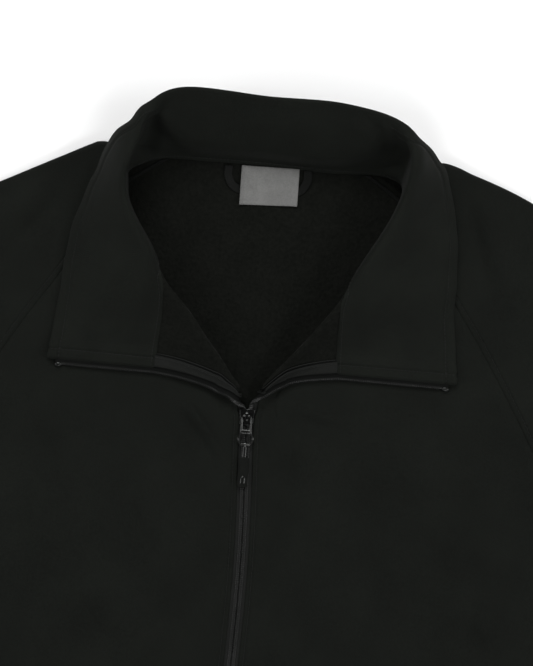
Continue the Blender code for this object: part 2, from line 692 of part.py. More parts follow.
def build_shell():
    """The five panels and the outer collar, each seam's edges sharing their normals."""
    fronts = {side: front_grid(side) for side in (1, -1)}
    sleeves = {side: sleeve_grid(side) for side in (1, -1)}
    back = back_grid()
    tops = {
        ("front", 1): seam_rows(fronts[1].shape[1], 1, "front"),
        ("sleeve", 1): seam_rows(sleeves[1].shape[1], 1, "sleeve"),
        ("back", 0): np.linspace(RAGLAN_BACK_ROW, 2 * CENTRE_ROW - RAGLAN_BACK_ROW, BACK_CELLS + 1),
        ("sleeve", -1): seam_rows(sleeves[-1].shape[1], -1, "sleeve"),
        ("front", -1): seam_rows(fronts[-1].shape[1], -1, "front"),
    }
    stations = np.unique(np.round(np.concatenate(list(tops.values())), 6))
    collar = collar_grid(stations, COLLAR_CELLS)
    normals = {("collar", 0): normals_of(collar, 1), ("back", 0): normals_of(back, 1)}
    for side in (1, -1):
        normals[("front", side)] = normals_of(fronts[side], side)
        normals[("sleeve", side)] = normals_of(sleeves[side], side)
    grids = {("collar", 0): collar, ("back", 0): back}
    grids.update({("front", side): fronts[side] for side in (1, -1)})
    grids.update({("sleeve", side): sleeves[side] for side in (1, -1)})

    for side in (1, -1):
        front, sleeve = normals[("front", side)], normals[("sleeve", side)]
        rows = raglan_rows()
        mean = unit(front[rows, -1] + sleeve[: len(rows), 0])
        front[rows, -1] = mean
        sleeve[: len(rows), 0] = mean
        edge = normals[("back", 0)][: len(rows), 0 if side > 0 else -1]
        mean = unit(edge + sleeve[: len(rows), -1])
        edge[:] = mean
        sleeve[: len(rows), -1] = mean
    shared = normals[("collar", 0)][:, 0].copy()
    places = {key: np.searchsorted(stations, np.round(rows, 6)) for key, rows in tops.items()}
    for key, at in places.items():
        shared[at] += normals[key][0]
    shared = unit(shared)
    for key, at in places.items():
        normals[key][0] = shared[at]
    normals[("collar", 0)][:, 0] = shared
    return grids, normals


def raglan_rows():
    """Rows of a front that lie on the raglan seam: all but the extra one level with the slider."""
    rows = np.arange(LAPEL_ROWS + ARM_ROWS + 2)
    return np.delete(rows, LAPEL_ROWS + 1)


SIDE_NAMES = {1: "left", -1: "right"}


# Zip, facings and inner collar

def zip_lines(grids, normals, side):
    """Rows of points and normals that start at the zip's edge, up the front and then up the collar.

    With each is the width that a strip laid on it may have: less in the turn above the slider.
    """
    front, collar = grids[("front", side)], grids[("collar", 0)]
    across = collar if side > 0 else collar[::-1]
    facing = normals[("collar", 0)] if side > 0 else normals[("collar", 0)][::-1]
    lines = []
    for i in range(len(front) - 1, -1, -1):
        turned = lengths(front[i, : LAPEL_CELLS + 1])[-1]
        room = min(0.6 * turned, TAPE_UNDER) if i <= LAPEL_ROWS else TAPE_UNDER
        lines.append((front[i], normals[("front", side)][i], room))
    lines += [(across[:, i], facing[:, i], TAPE_UNDER) for i in range(1, collar.shape[1])]
    return lines


def strip(lines, places):
    """Points and normals at these distances in from the zip's edge, on each line."""
    points, facing = [], []
    for line, normal, room in lines:
        far = lengths(line)
        inner = np.clip(places, 0, None) * room / TAPE_UNDER
        at = np.stack([np.interp(inner, far, line[:, axis]) for axis in range(3)], axis=-1)
        turned = np.stack([np.interp(inner, far, normal[:, axis]) for axis in range(3)], axis=-1)
        outwards = unit((line[0] - line[1]) * (1, 1, 0))
        clear = TURN_CLEAR if line[0][2] > UPPER and room < TAPE_UNDER else 0.0
        at += np.clip(-np.asarray(places) + clear, 0, None)[:, None] * outwards
        points.append(at)
        facing.append(unit(turned))
    return np.stack(points), np.stack(facing)


def cut_ends(points, facing, start, end):
    """The strip without these lengths at its two ends."""
    far = lengths(points[:, 0])
    kept = far[(far > start + 1) & (far < far[-1] - end - 1)]
    at = np.concatenate([[start], kept, [far[-1] - end]])
    i = np.clip(np.searchsorted(far, at, side="right") - 1, 0, len(far) - 2)
    t = ((at - far[i]) / (far[i + 1] - far[i]))[:, None, None]
    return points[i] * (1 - t) + points[i + 1] * t, unit(facing[i] * (1 - t) + facing[i + 1] * t)


def build_zip(grids, normals):
    """Each side's tape, teeth and top stop, and the facing sewn over the tape where it lies open."""
    outer = SEAM / 2 - CHAIN_HALF
    teeth = (outer, outer + COIL_WIDE)
    middle_of_teeth = TAPE_GAP - SEAM - COIL_RISE / 2
    first = BOX_LENGTH + SEAM
    for side, word in SIDE_NAMES.items():
        lines = zip_lines(grids, normals, side)
        tape = cut_ends(*strip(lines, (*teeth, 0.0, 3.0, 6.0, TAPE_UNDER)), first, TAPE_END)
        cloth("zip_tape_" + word, *tape, TAPE, THIN, TAPE_GAP + THIN / 2)
        chain = cut_ends(*strip(lines, teeth), first, TAPE_END + STOP_LENGTH + SEAM)
        cloth("zip_teeth_" + word, *chain, TAPE, COIL_RISE, middle_of_teeth)
        points, turned = strip(lines[-2:], teeth)
        ahead = unit(points[0] - points[1])
        stop = points[1] + ahead * TAPE_END + np.multiply.outer((STOP_LENGTH, 0.0), ahead)
        thick = COIL_RISE + 0.3
        cloth("zip_stop_" + word, stop, turned[[1, 1]], BLACK_METAL, thick, middle_of_teeth - 0.15)

        neck = len(grids[("front", side)])
        points, turned = cut_ends(*strip(lines[neck - FACING_ROWS : neck], (0.3, 4.0, FACING)), 0, SEAM)
        cloth("facing_" + word, points, turned, CLOTH, THIN, TAPE_GAP + THIN + SEAM + THIN / 2)


def inner_collar(grids, normals):
    """The collar's inner layer, lifted off the outer one near the zip, where the tape lies between."""
    grid, facing = grids[("collar", 0)], normals[("collar", 0)]
    far = lengths(grid[:, 0])
    ends = np.minimum(far, far[-1] - far)
    close = SHELL / 2 + SEAM + THIN / 2
    over_tape = TAPE_GAP + THIN + SEAM + THIN / 2
    offset = over_tape + (close - over_tape) * smooth_step((ends - TAPE_UNDER - 3) / 12)
    moved = trimmed(grid, first_column=True, half=SEAM) + facing * offset[:, None, None]
    cloth("collar_inner", moved, facing, CLOTH, THIN)


def build_neck_trim():
    """The hanger loop sewn into the back neck seam, and the blank label over it."""
    route = through(LOOP_ROUTE, np.linspace(0, len(LOOP_ROUTE) - 1, 25))
    ahead = unit(np.gradient(route, axis=0))
    across = unit(np.cross(ahead, (0, 0, 1.0)))
    profile = np.array([(-0.5, -0.5), (0.5, -0.5), (0.5, 0.5), (-0.5, 0.5)]) * (LOOP_WIDE, THIN)
    carried("hanger_loop", profile, route, across, np.cross(across, ahead), TAPE)
    low, high = LABEL_X
    x = np.linspace(low, high, 3)
    y = np.linspace(LABEL_Y[1], LABEL_Y[0], 5)
    z = LABEL_Z + np.array([0, 0, 0, -0.2, -0.7])
    grid = np.stack(np.broadcast_arrays(x[None], y[:, None], z[:, None]), axis=-1)
    cloth("neck_label", grid, normals_of(grid, -1), GREY_WEAVE, THIN)


def build_slider():
    """The slider: two plates joined by a post, cheeks beside the teeth, and the bridge for the pull."""
    top = box("zip_slider", (-5.3, SLIDER_END, 6.0), (5.3, SLIDER_TOP, 6.8), BLACK_METAL)
    tools = [
        box("post", (-0.8, -3.4, 2.0), (0.8, -1.4, 6.4), BLACK_METAL),
        box("under plate", (-4.8, SLIDER_END + 0.5, 1.75), (4.8, SLIDER_TOP - 0.3, 2.4), BLACK_METAL),
        box("bridge foot", (-1.1, -10.0, 6.3), (1.1, -8.9, 9.7), BLACK_METAL),
        box("bridge head", (-1.1, -4.2, 6.3), (1.1, -3.1, 9.7), BLACK_METAL),
        box("bridge bar", (-1.1, -9.5, 8.95), (1.1, -3.6, 9.7), BLACK_METAL),
    ]
    tools += [
        box("cheek", (x - 0.55, SLIDER_END + 0.2, 4.2), (x + 0.55, -6.5, 6.4), BLACK_METAL)
        for x in (-4.35, 4.35)
    ]
    join(top, tools)
    x = zip_line(HEM_Y)
    box("zip_box", (x - 4.2, HEM_Y + 0.5, 2.6), (x + 4.2, HEM_Y + BOX_LENGTH, 5.6), BLACK_METAL)


def puller_outline():
    """Half of the pull's keyhole outline, down its +X side, as centre points of its wire."""
    return through(PULL_OUTLINE, np.linspace(0, len(PULL_OUTLINE) - 1, 15))


def build_pull():
    """The keyhole pull, hinged under the slider's bridge, and the tab that hangs from its end."""
    half = puller_outline()
    slope = (PULL_PIVOT[2] - TAB_PIVOT[2]) / (PULL_PIVOT[1] - TAB_PIVOT[1])
    height = PULL_PIVOT[2] + (half[:, 1] - PULL_PIVOT[1]) * slope
    right = np.column_stack([half, height])
    outline = np.concatenate([right, (right * (-1, 1, 1))[::-1]])
    puller = tube("zip_puller", outline, PULL_WIRE, BLACK_METAL, closed=True)
    y = -17.2
    z = PULL_PIVOT[2] + (y - PULL_PIVOT[1]) * slope
    bar = box("cross piece", (-3.0, y - 1.3, z - 0.5), (3.0, y + 1.3, z + 0.5), BLACK_METAL)
    join(puller, [bar])
    about(puller, PULL_PIVOT)

    turn = np.linspace(0, 2 * math.pi, 17)[:-1]
    ring = np.stack([np.zeros(16), np.cos(turn), np.sin(turn)], axis=-1) * EYE_RADIUS + TAB_PIVOT
    radial = unit(ring - TAB_PIVOT)
    profile = np.array([(-1.2, -0.4), (1.2, -0.4), (1.2, 0.4), (-1.2, 0.4)])
    eye = carried(
        "zip_tab", profile, ring, np.tile((1.0, 0, 0), (16, 1)), radial, RUBBER, closed=True
    )
    x, y, z = TAB_PIVOT
    neck = box("tab neck", (x - 1.2, -35.5, z - 0.7), (x + 1.2, y - EYE_RADIUS, z + 0.5), RUBBER)
    blade = box("tab blade", (x - 3.7, TAB_END, z - 0.9), (x + 3.7, -35.0, z + 0.7), RUBBER)
    join(eye, [neck, blade])
    about(eye, TAB_PIVOT)


def main():
    for obj in list(bpy.data.objects):
        bpy.data.objects.remove(obj, do_unlink=True)
    grids, normals = build_shell()
    back = trimmed(grids[("back", 0)], first_row=True, first_column=True, last_column=True)
    cloth("back_panel", back, normals[("back", 0)], FLEECE)
    for side, word in SIDE_NAMES.items():
        front = trimmed(grids[("front", side)], last_column=True)
        front = trimmed(front, first_row=True, half=SEAM)
        cloth("front_panel_" + word, front, normals[("front", side)], CLOTH)
        sleeve = trimmed(grids[("sleeve", side)], first_column=True, last_column=True)
        sleeve = trimmed(sleeve, first_row=True, half=1.3 * SEAM)
        cloth("sleeve_" + word, sleeve, normals[("sleeve", side)], CLOTH)
    collar = trimmed(grids[("collar", 0)], first_column=True, half=SEAM)
    cloth("collar_outer", collar, normals[("collar", 0)], CLOTH)
    inner_collar(grids, normals)
    build_zip(grids, normals)
    build_neck_trim()
    build_slider()
    build_pull()


main()
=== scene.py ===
"""Softshell jacket laid flat on its back: the pieces that show, their finishes, the light and the camera.

Tables are in millimetres from the top of the zip's slider: +X towards the wearer's left sleeve, +Y towards
the collar and +Z up. The meshes are in metres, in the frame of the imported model.
"""

import math

import bpy
import numpy as np
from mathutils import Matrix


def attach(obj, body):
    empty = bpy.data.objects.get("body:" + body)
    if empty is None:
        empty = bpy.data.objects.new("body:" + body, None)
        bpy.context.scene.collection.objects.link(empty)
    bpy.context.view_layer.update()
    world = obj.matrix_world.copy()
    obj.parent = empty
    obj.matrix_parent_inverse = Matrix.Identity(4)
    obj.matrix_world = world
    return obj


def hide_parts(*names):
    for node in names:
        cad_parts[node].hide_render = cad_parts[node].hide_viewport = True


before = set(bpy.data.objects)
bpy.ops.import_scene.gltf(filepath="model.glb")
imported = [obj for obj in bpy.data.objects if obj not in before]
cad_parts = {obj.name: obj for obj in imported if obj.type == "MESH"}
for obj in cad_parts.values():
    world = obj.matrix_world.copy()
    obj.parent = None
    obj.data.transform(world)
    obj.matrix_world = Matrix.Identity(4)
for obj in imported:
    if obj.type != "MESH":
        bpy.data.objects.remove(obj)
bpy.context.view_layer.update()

MM = 0.001

# Sizes of the jacket, as in the part
SHELL = 1.4
THIN = 1.0
SEAM = 0.3
MIDDLE_Y = -190.0
HEM_Y = -600.0
HEM_HALF = 330.0
WAIST_HALF = 323.0
UNDERARM = (325.0, -205.0)
SLEEVE_LENGTH = 700.0
SLEEVE_SLOPE = math.radians(33)
CUFF = 125.0
SHOULDER = (235.0, 130.0)
LOWER = SHELL / 2
UPPER = 4.6
STACKED = LOWER + SHELL + SEAM
EDGE_DROP = 9.0
CHAIN_HALF = 5.6
TAPE_UNDER = 9.0
TAPE_GAP = SHELL / 2 + SEAM
TURN_CLEAR = 0.9
COIL_WIDE = 2.65
COIL_RISE = 1.8
ZIP_BOW = 2.7
ZIP_BOW_LENGTH = 190.0
BOX_LENGTH = 9.0
TAPE_END = 5.0
STOP_LENGTH = 3.4
FACING = 7.5
SLIDER_TOP = -0.8
SLIDER_END = -12.6
PULL_PIVOT = (0.0, -6.5, 8.05)
PULL_OUTLINE = (
    (2.7, -6.5), (3.1, -8.0), (3.2, -14.0), (3.4, -18.0), (5.2, -22.2), (3.6, -25.6), (1.6, -26.3),
)
TAB_PIVOT = (0.0, -26.3, 7.7)
CROSS_PIECE_Y = -17.2
TAB_END = -56.0
BLADE_TOP = -35.0
TAB_LOOP_Y = (-50.2, -53.4)  # where the loop's bend starts, and where its legs end
LABEL_X = (-15.5, 24.5)
LABEL_Y = (141.5, 168.6)
LABEL_Z = 3.55
LOOP_WIDE = 5.0
LOOP_ROUTE = (
    (-25.0, 167.9, 3.6),
    (-24.5, 160.0, 2.9),
    (-18.0, 152.5, 2.3),
    (3.0, 149.5, 2.25),
    (24.0, 152.5, 2.3),
    (30.5, 160.0, 2.9),
    (31.0, 167.9, 3.6),
)

# The collar, a row for each section from the zip to the centre back, on each side
COLLAR_COLUMNS = (
    "neck_x", "neck_y", "neck_z", "lean", "crest_x", "crest_y", "crest_z", "rise", "roll",
    "top_x", "top_y", "top_z",
)
COLLAR_LEFT = (
    (60.9, 28.8, 8.0, 0, 60.9, 28.8, 8.0, 0, 20, 143.4, 27.0, 7.4),
    (60.1, 42.0, 10.8, -4, 60.1, 42.0, 10.8, -4, 20, 141.5, 50.0, 6.8),
    (59.8, 60.9, 20.5, 5, 59.8, 60.9, 20.5, 5, 18, 138.7, 74.0, 6.6),
    (60.5, 79.4, 32.0, 60, 60.5, 79.4, 32.0, 60, 11, 138.8, 100.0, 7.2),
    (73.0, 103.2, 27.0, 110, 71.9, 100.5, 33.0, 90, 15, 137.0, 124.9, 8.6),
    (89.2, 130.2, 19.0, 130, 86.3, 126.4, 34.0, 90, 18, 133.0, 146.6, 11.0),
    (100.4, 149.4, 14.0, 140, 95.0, 146.8, 35.0, 90, 20, 125.9, 169.9, 18.0),
    (99.2, 161.7, 10.0, 120, 99.2, 165.1, 38.0, 90, 20, 117.2, 180.5, 28.0),
    (89.0, 168.0, 6.0, 80, 98.0, 179.8, 41.0, 85, 12, 104.2, 191.2, 39.0),
    (73.1, 169.3, 3.0, 40, 84.6, 188.0, 30.0, 60, 10, 86.8, 203.4, 45.0),
    (46.1, 168.5, 2.2, 20, 48.6, 178.8, 18.0, 55, 12, 50.7, 211.2, 45.5),
    (0.0, 170.4, 2.0, 20, 0.0, 179.9, 17.0, 53, 12, 0.0, 212.6, 45.0),
)
COLLAR_RIGHT = (
    (-67.4, 24.5, 8.0, 0, -67.4, 24.5, 8.0, 0, 20, -140.6, 26.0, 7.4),
    (-66.3, 40.0, 10.8, -4, -66.3, 40.0, 10.8, -4, 20, -138.5, 49.0, 6.8),
    (-64.1, 61.9, 20.5, 5, -64.1, 61.9, 20.5, 5, 18, -135.5, 74.0, 6.6),
    (-64.5, 84.3, 32.0, 60, -64.5, 84.3, 32.0, 60, 11, -133.2, 97.0, 7.4),
    (-75.1, 105.6, 27.0, 110, -72.3, 103.9, 33.0, 90, 15, -129.2, 119.8, 9.0),
    (-91.5, 130.2, 19.0, 130, -88.8, 128.3, 34.0, 90, 18, -120.3, 144.5, 13.0),
    (-99.3, 147.4, 14.0, 140, -93.6, 145.3, 36.0, 90, 20, -112.3, 161.6, 22.0),
    (-96.7, 159.2, 10.0, 120, -91.2, 161.0, 41.0, 90, 18, -104.3, 179.5, 33.0),
    (-86.0, 166.5, 6.0, 80, -86.2, 177.3, 43.0, 88, 10, -92.2, 189.8, 41.0),
    (-70.2, 170.8, 3.0, 40, -77.0, 193.6, 40.0, 70, 8, -80.8, 202.6, 45.0),
    (-46.2, 170.9, 2.2, 20, -52.0, 182.2, 18.0, 55, 12, -57.8, 214.8, 46.0),
    (0.0, 170.4, 2.0, 20, 0.0, 179.9, 17.0, 53, 12, 0.0, 212.6, 45.0),
)
SLEEVE_HOLD = {1: 1.0, -1: 0.45}  # coarse rows over which each sleeve's fit to the neck seam fades
RAGLAN_FRONT_ROW = 6
RAGLAN_BACK_ROW = 9

# The folded part of each front, a row for each step from the slider to the neck seam
LAPEL_COLUMNS = ("edge_x", "edge_y", "edge_z", "crest_x", "crest_y", "crest_z", "roll")
LAPEL_LEFT = (
    (7.4, -0.5, 4.6, 13.0, 0.0, 4.6, 0.0),
    (9.0, 11.2, 11.4, 9.6, 13.0, 11.2, 2.0),
    (16.8, 18.3, 11.1, 15.8, 23.5, 14.0, 4.0),
    (27.0, 23.0, 9.0, 25.7, 34.5, 17.5, 6.0),
    (37.5, 25.6, 8.6, 35.2, 46.1, 21.5, 8.0),
    (48.9, 27.3, 8.2, 47.4, 61.4, 27.0, 9.0),
    (60.9, 28.8, 8.0, 60.5, 79.4, 32.0, 10.0),
)
LAPEL_RIGHT = (
    (-7.4, -0.5, 4.6, -13.0, 0.0, 4.6, 0.0),
    (-8.7, 9.6, 11.1, -7.3, 12.8, 11.2, 2.0),
    (-18.2, 13.8, 11.1, -13.7, 22.2, 14.0, 4.0),
    (-28.9, 17.3, 9.0, -22.2, 34.2, 17.5, 6.0),
    (-40.2, 20.3, 8.6, -32.5, 47.1, 21.5, 8.0),
    (-52.7, 22.7, 8.2, -45.1, 63.8, 27.0, 9.0),
    (-67.4, 24.5, 8.0, -64.5, 84.3, 32.0, 10.0),
)

# Raglan seams for the +X side, from the neck to the underarm. Columns: x, y, z.
RAGLAN_FRONT = (
    (109.5, 135.0, 8.8),
    (118.5, 118.0, 5.6),
    (137.0, 86.0, 4.7),
    (158.0, 55.0, 4.6),
    (190.0, 2.5, 4.6),
    (205.0, -24.0, 4.6),
    (268.0, -122.0, 4.6),
    (309.0, -183.0, 4.0),
    (325.0, -205.0, 2.4),
)
RAGLAN_BACK = (
    (95.0, 154.3, 0.7),
    (140.0, 112.0, 0.7),
    (200.0, 30.0, 0.7),
    (262.0, -80.0, 0.7),
    (325.0, -205.0, 0.7),
)

# The fold over each shoulder. Columns: x, y, z of its outer line, and its half height.
FOLD_LEFT = (
    (107.0, 176.0, 7.0, 3.0),
    (121.0, 180.5, 4.6, 2.9),
    (147.0, 172.5, 2.9, 2.2),
    (173.0, 163.0, 2.65, 1.95),
    (235.0, 130.0, 2.65, 1.95),
)
FOLD_RIGHT = (
    (-105.0, 182.5, 7.0, 3.0),
    (-116.0, 178.4, 4.6, 2.9),
    (-140.0, 167.0, 2.9, 2.2),
    (-184.0, 145.2, 2.65, 1.95),
    (-235.0, 121.0, 2.65, 1.95),
)

# Creases: a curve from its start past its middle to its end, its width on either side, and its rise.
# A negative rise is a trough. Columns: x, y three times, width on the left, width on the right, rise.
FRONT_CREASES = (
    (-46, 3, -28, -18, -10, -46, 2.6, 5.0, 1.5),
    (-49, -2, -31, -22, -14, -48, 4.0, 3.0, -1.2),
    (26, 3, 48, -2, 74, -6, 2.4, 4.0, 1.0),
    (28, -2, 50, -7, 76, -11, 3.5, 4.0, -0.9),
    (40, -14, 33, -32, 26, -52, 3.0, 4.0, -1.2),
    (-58, 6, -32, -14, -10, -46, 5.0, 9.0, 2.4),
    (-52, -3, -34, -22, -17, -44, 5.0, 5.0, -1.4),
    (24, 2, 48, -3, 74, -6, 4.0, 6.0, 1.4),
    (38, -18, 31, -38, 22, -60, 7.0, 9.0, -1.7),
    (52, -16, 44, -44, 30, -76, 11.0, 8.0, 2.4),
    (80, 8, 92, 3, 106, -8, 8.0, 12.0, 2.4),
    (156, -86, 134, -132, 98, -172, 13.0, 15.0, -3.0),
    (166, -146, 186, -143, 214, -130, 14.0, 20.0, 3.3),
    (-82, -70, -70, -92, -56, -108, 8.0, 8.0, -2.3),
    (-98, -66, -86, -96, -66, -124, 11.0, 9.0, 2.8),
    (-112, -150, -92, -166, -70, -178, 9.0, 12.0, -2.6),
    (-150, -40, -128, -78, -95, -130, 24.0, 28.0, 3.0),
    (86, -8, 112, -34, 140, -70, 22.0, 26.0, 2.7),
    (-205, -250, -160, -284, -120, -290, 26.0, 30.0, 3.4),
    (-236, -300, -200, -336, -140, -352, 16.0, 26.0, 3.3),
    (120, -330, 160, -320, 215, -300, 26.0, 30.0, 3.4),
    (90, -390, 150, -384, 236, -352, 18.0, 22.0, 3.3),
    (-90, -430, -150, -452, -215, -455, 24.0, 30.0, 3.4),
    (75, -480, 130, -500, 190, -505, 26.0, 30.0, 3.3),
    (-60, -520, -140, -528, -230, -512, 16.0, 22.0, 2.7),
    (250, -230, 236, -270, 238, -330, 18.0, 22.0, 3.4),
    (-270, -222, -250, -262, -244, -318, 18.0, 22.0, 3.4),
    (298, -210, 268, -236, 220, -244, 9.0, 13.0, 3.0),
    (-300, -208, -262, -228, -214, -226, 9.0, 13.0, 3.0),
    (232, -150, 246, -182, 290, -206, 10.0, 12.0, 2.7),
    (-228, -146, -250, -178, -292, -204, 10.0, 12.0, 2.7),
)
SLEEVE_CREASES = (
    (133, 168, 147, 140, 168, 80, 5.0, 6.5, -3.4),
    (144, 168, 162, 130, 184, 74, 9.0, 13.0, 2.6),
    (-128, 154, -150, 126, -184, 90, 5.5, 6.5, -3.2),
    (-132, 132, -144, 112, -150, 90, 5.0, 6.0, -2.2),
    (-142, 160, -168, 134, -198, 104, 9.0, 11.0, 2.5),
    (262, -30, 300, -70, 352, -90, 10.0, 14.0, 4.2),
    (300, -40, 338, -80, 360, -125, 20.0, 24.0, 4.6),
    (400, -60, 444, -98, 470, -150, 22.0, 26.0, 4.6),
    (430, -40, 476, -84, 520, -150, 12.0, 16.0, 3.0),
    (372, -20, 400, -72, 402, -140, 12.0, 18.0, 3.8),
    (520, -130, 556, -168, 575, -215, 20.0, 24.0, 4.6),
    (566, -118, 600, -170, 640, -214, 12.0, 16.0, 3.0),
    (620, -190, 664, -226, 690, -280, 18.0, 22.0, 4.2),
    (690, -214, 716, -262, 752, -300, 10.0, 14.0, 2.8),
    (-262, -34, -306, -72, -350, -104, 10.0, 14.0, 4.2),
    (-300, -40, -330, -84, -360, -125, 20.0, 24.0, 4.6),
    (-400, -60, -440, -104, -470, -150, 22.0, 26.0, 4.6),
    (-424, -34, -480, -90, -512, -158, 12.0, 16.0, 3.0),
    (-366, -22, -392, -76, -408, -132, 12.0, 18.0, 3.8),
    (-520, -130, -552, -172, -575, -215, 20.0, 24.0, 4.6),
    (-574, -124, -606, -166, -634, -222, 12.0, 16.0, 3.0),
    (-620, -190, -658, -232, -690, -280, 18.0, 22.0, 4.2),
)
COLLAR_CREASES = (
    (124, 160, 116, 146, 102, 131, 5.0, 5.0, -1.4),
    (117, 124, 103, 108, 84, 93, 6.0, 6.0, -1.1),
    (-118, 127, -108, 112, -97, 100, 6.0, 6.0, -1.1),
    (-112, 150, -108, 132, -98, 116, 7.0, 8.0, 1.2),
    (-66, 222, -79, 183, -90, 144, 4.5, 13.0, -7.2),
    (94, 210, 95, 182, 89, 146, 4.5, 11.0, -5.5),
    (103, 192, 105, 180, 106, 166, 4.0, 3.5, 1.4),
    (69, 207, 78, 196, 86, 180, 3.2, 3.8, -2.2),
    (76, 206, 83, 196, 88, 184, 3.0, 3.0, 1.3),
    (62, 206, 66, 198, 74, 184, 4.0, 4.0, 1.1),
    (84, 200, 88, 189, 91, 176, 2.8, 3.2, -1.9),
    (40, 205, 10, 196, -30, 203, 8.0, 8.0, 0.7),
    (70, 196, 60, 186, 42, 180, 5.0, 7.0, -0.8),
    (-60, 200, -52, 190, -38, 182, 6.0, 7.0, -0.8),
    (128, 60, 112, 52, 84, 50, 12.0, 14.0, 1.0),
    (-124, 78, -104, 66, -82, 62, 12.0, 14.0, 1.0),
)
BACK_CREASES = (
    (-60, 120, -20, 96, 30, 104, 14.0, 18.0, 0.7),
    (-40, 60, 0, 84, 40, 70, 16.0, 16.0, 0.6),
)

# Slow unevenness of the laid cloth. Columns: waves in x and y over a metre, phase, height.
UNEVEN = (
    (11.0, 4.0, 0.3, 0.22),
    (-6.0, 13.0, 1.9, 0.20),
    (19.0, -9.0, 4.1, 0.12),
    (7.0, 23.0, 2.6, 0.10),
    (31.0, 17.0, 5.2, 0.06),
    (-27.0, 29.0, 0.9, 0.05),
)

# Cells of each panel's grid
LAPEL_CELLS = 16
ROLL_CELLS = 20
FLAT_CELLS = 100
DROP_CELLS = 12
LAPEL_ROWS = 72
ARM_ROWS = 88
SIDE_ROWS = 70
SLEEVE_CELLS = 44
FOLD_CELLS = 10
SLEEVE_ROWS = 96
BACK_CELLS = 96
COLLAR_CELLS = 46
COLLAR_EDGE_CELLS = 12
COLLAR_ROWS = 230
ROLL_REACH = (3.0, 1.35)  # how far a lapel's roll reaches under its crest: least, and more for its height
SLIDER_SPREAD = 1.8  # how much further apart the fronts stand at the slider than below it
BESIDE_ZIP = 10.0  # the even strip of each front next to the closed zip
LAID_LIFT = 0.4  # how far the upper layer is lifted where it lies free
TOP_EASING = 30
COARSE_ROWS = 9  # rows of the part's lapel, over which its corrections fade
TURN_SHARE = 1.3  # how much closer the collar's points stand where it turns
COLLAR_EDGE = 10.0  # the strip along the collar's free edge with even cells
CORNER_EASING = 60
EDGE_SLACK = 0.35

# Topstitching
STITCH = 2.5  # one stitch and its gap
COLLAR_STITCH = 6.5  # in from the collar's free edge
COLLAR_ZIP_STITCH = 5.8  # in from the collar's edge along the zip
FRONT_STITCH = 2.8  # in from the front's edge
RAGLAN_STITCH = 5.5  # from the seam, on the sleeve
HEM_STITCH = 22.0
NECK_STITCH = 1.8  # up from the neck seam, on the collar
THREAD = 0.24
THREAD_RISE = 0.05
STITCH_BAR = (  # place, size and height of a stitch's rings, as shares of the stitch and the thread
    (-0.39, 0.35, -0.6), (-0.2418, 1.0, 0.35), (0.2418, 1.0, 0.35), (0.39, 0.35, -0.6),
)
HEM_TURN = 0.7  # what the turned hem adds to the cloth
SEAM_DIP = 0.6  # how deep the cloth is drawn into a seam
SEAM_REACH = 1.4

# The coil: the places of its head and root from the zip's edge, and one tooth to the next on one tape
COIL_PLACES = (SEAM / 2 - CHAIN_HALF, SEAM / 2 - CHAIN_HALF + COIL_WIDE)
TOOTH = 1.45
TOOTH_BAR = (  # place from root to head, half width and half height of a tooth's rings
    (0.0, 0.34, 0.50), (0.12, 0.48, 0.82), (0.55, 0.46, 0.92), (0.88, 0.50, 0.90), (1.0, 0.30, 0.55),
)

# Finishes
MOTTLE_REACH = (0.34, 0.66)
SHEEN_ROUGHNESS = 0.45
YARN_PATCHES = 420.0

BODY = "jacket"


# Curves and grids

def unit(vectors):
    """The vectors divided by their lengths."""
    return vectors / np.maximum(np.linalg.norm(vectors, axis=-1, keepdims=True), 1e-9)


def columns(names, table):
    """The table as a dictionary of columns, with x, y, z columns of one name also joined as points."""
    values = dict(zip(names, np.asarray(table, float).T))
    for name in names:
        if name.endswith("_x") and name[:-1] + "z" in values:
            values[name[:-2]] = np.stack([values[name[:-1] + axis] for axis in "xyz"], axis=-1)
    return values


def through(rows, at, knots=None):
    """A cubic through the rows, each given at its knot (its index unless stated), read at the values."""
    rows = np.asarray(rows, float)
    knots = np.arange(len(rows), dtype=float) if knots is None else knots
    slopes = np.gradient(rows, knots, axis=0)
    at = np.asarray(at, float)
    i = np.clip(np.searchsorted(knots, at, side="right") - 1, 0, len(rows) - 2)
    span = (knots[i + 1] - knots[i]).reshape(-1, *[1] * (rows.ndim - 1))
    t = (at - knots[i]).reshape(span.shape) / span
    return (
        (1 + 2 * t) * (1 - t) ** 2 * rows[i]
        + t * (1 - t) ** 2 * span * slopes[i]
        + t * t * (3 - 2 * t) * rows[i + 1]
        - t * t * (1 - t) * span * slopes[i + 1]
    )


def lengths(path):
    """Distance along a path at each of its points."""
    steps = np.linalg.norm(np.diff(path, axis=0), axis=1)
    return np.concatenate([[0.0], np.cumsum(steps)])


def read_at(far, values, at):
    """Columns of values given at the distances far, read at other distances, straight between them."""
    return np.stack([np.interp(at, far, values[:, axis]) for axis in range(values.shape[1])], axis=-1)


def at_lengths(path, places):
    """Points of a path at these distances from its start."""
    return read_at(lengths(path), path, places)


def along(path, fractions):
    """Points of a path at these fractions of its length."""
    return at_lengths(path, np.asarray(fractions) * lengths(path)[-1])


def bezier(start, first, second, end, count):
    """Points of the cubic Bezier curve from start to end, pulled towards first and then second."""
    t = np.linspace(0, 1, count)[:, None]
    return (
        (1 - t) ** 3 * start
        + 3 * (1 - t) ** 2 * t * first
        + 3 * (1 - t) * t * t * second
        + t**3 * end
    )


def smooth_step(value):
    """A soft step from 0 to 1: three times the value's square less twice its cube."""
    value = np.clip(value, 0, 1)
    return value * value * (3 - 2 * value)


def normals_of(points, inside):
    """Unit normals of a grid, towards the cloth's inside: the cross product of its two directions.

    inside is 1 or -1 for the grid's own turn.
    """
    rows = np.gradient(points, axis=0)
    across = np.gradient(points, axis=1)
    return inside * unit(np.cross(across, rows))


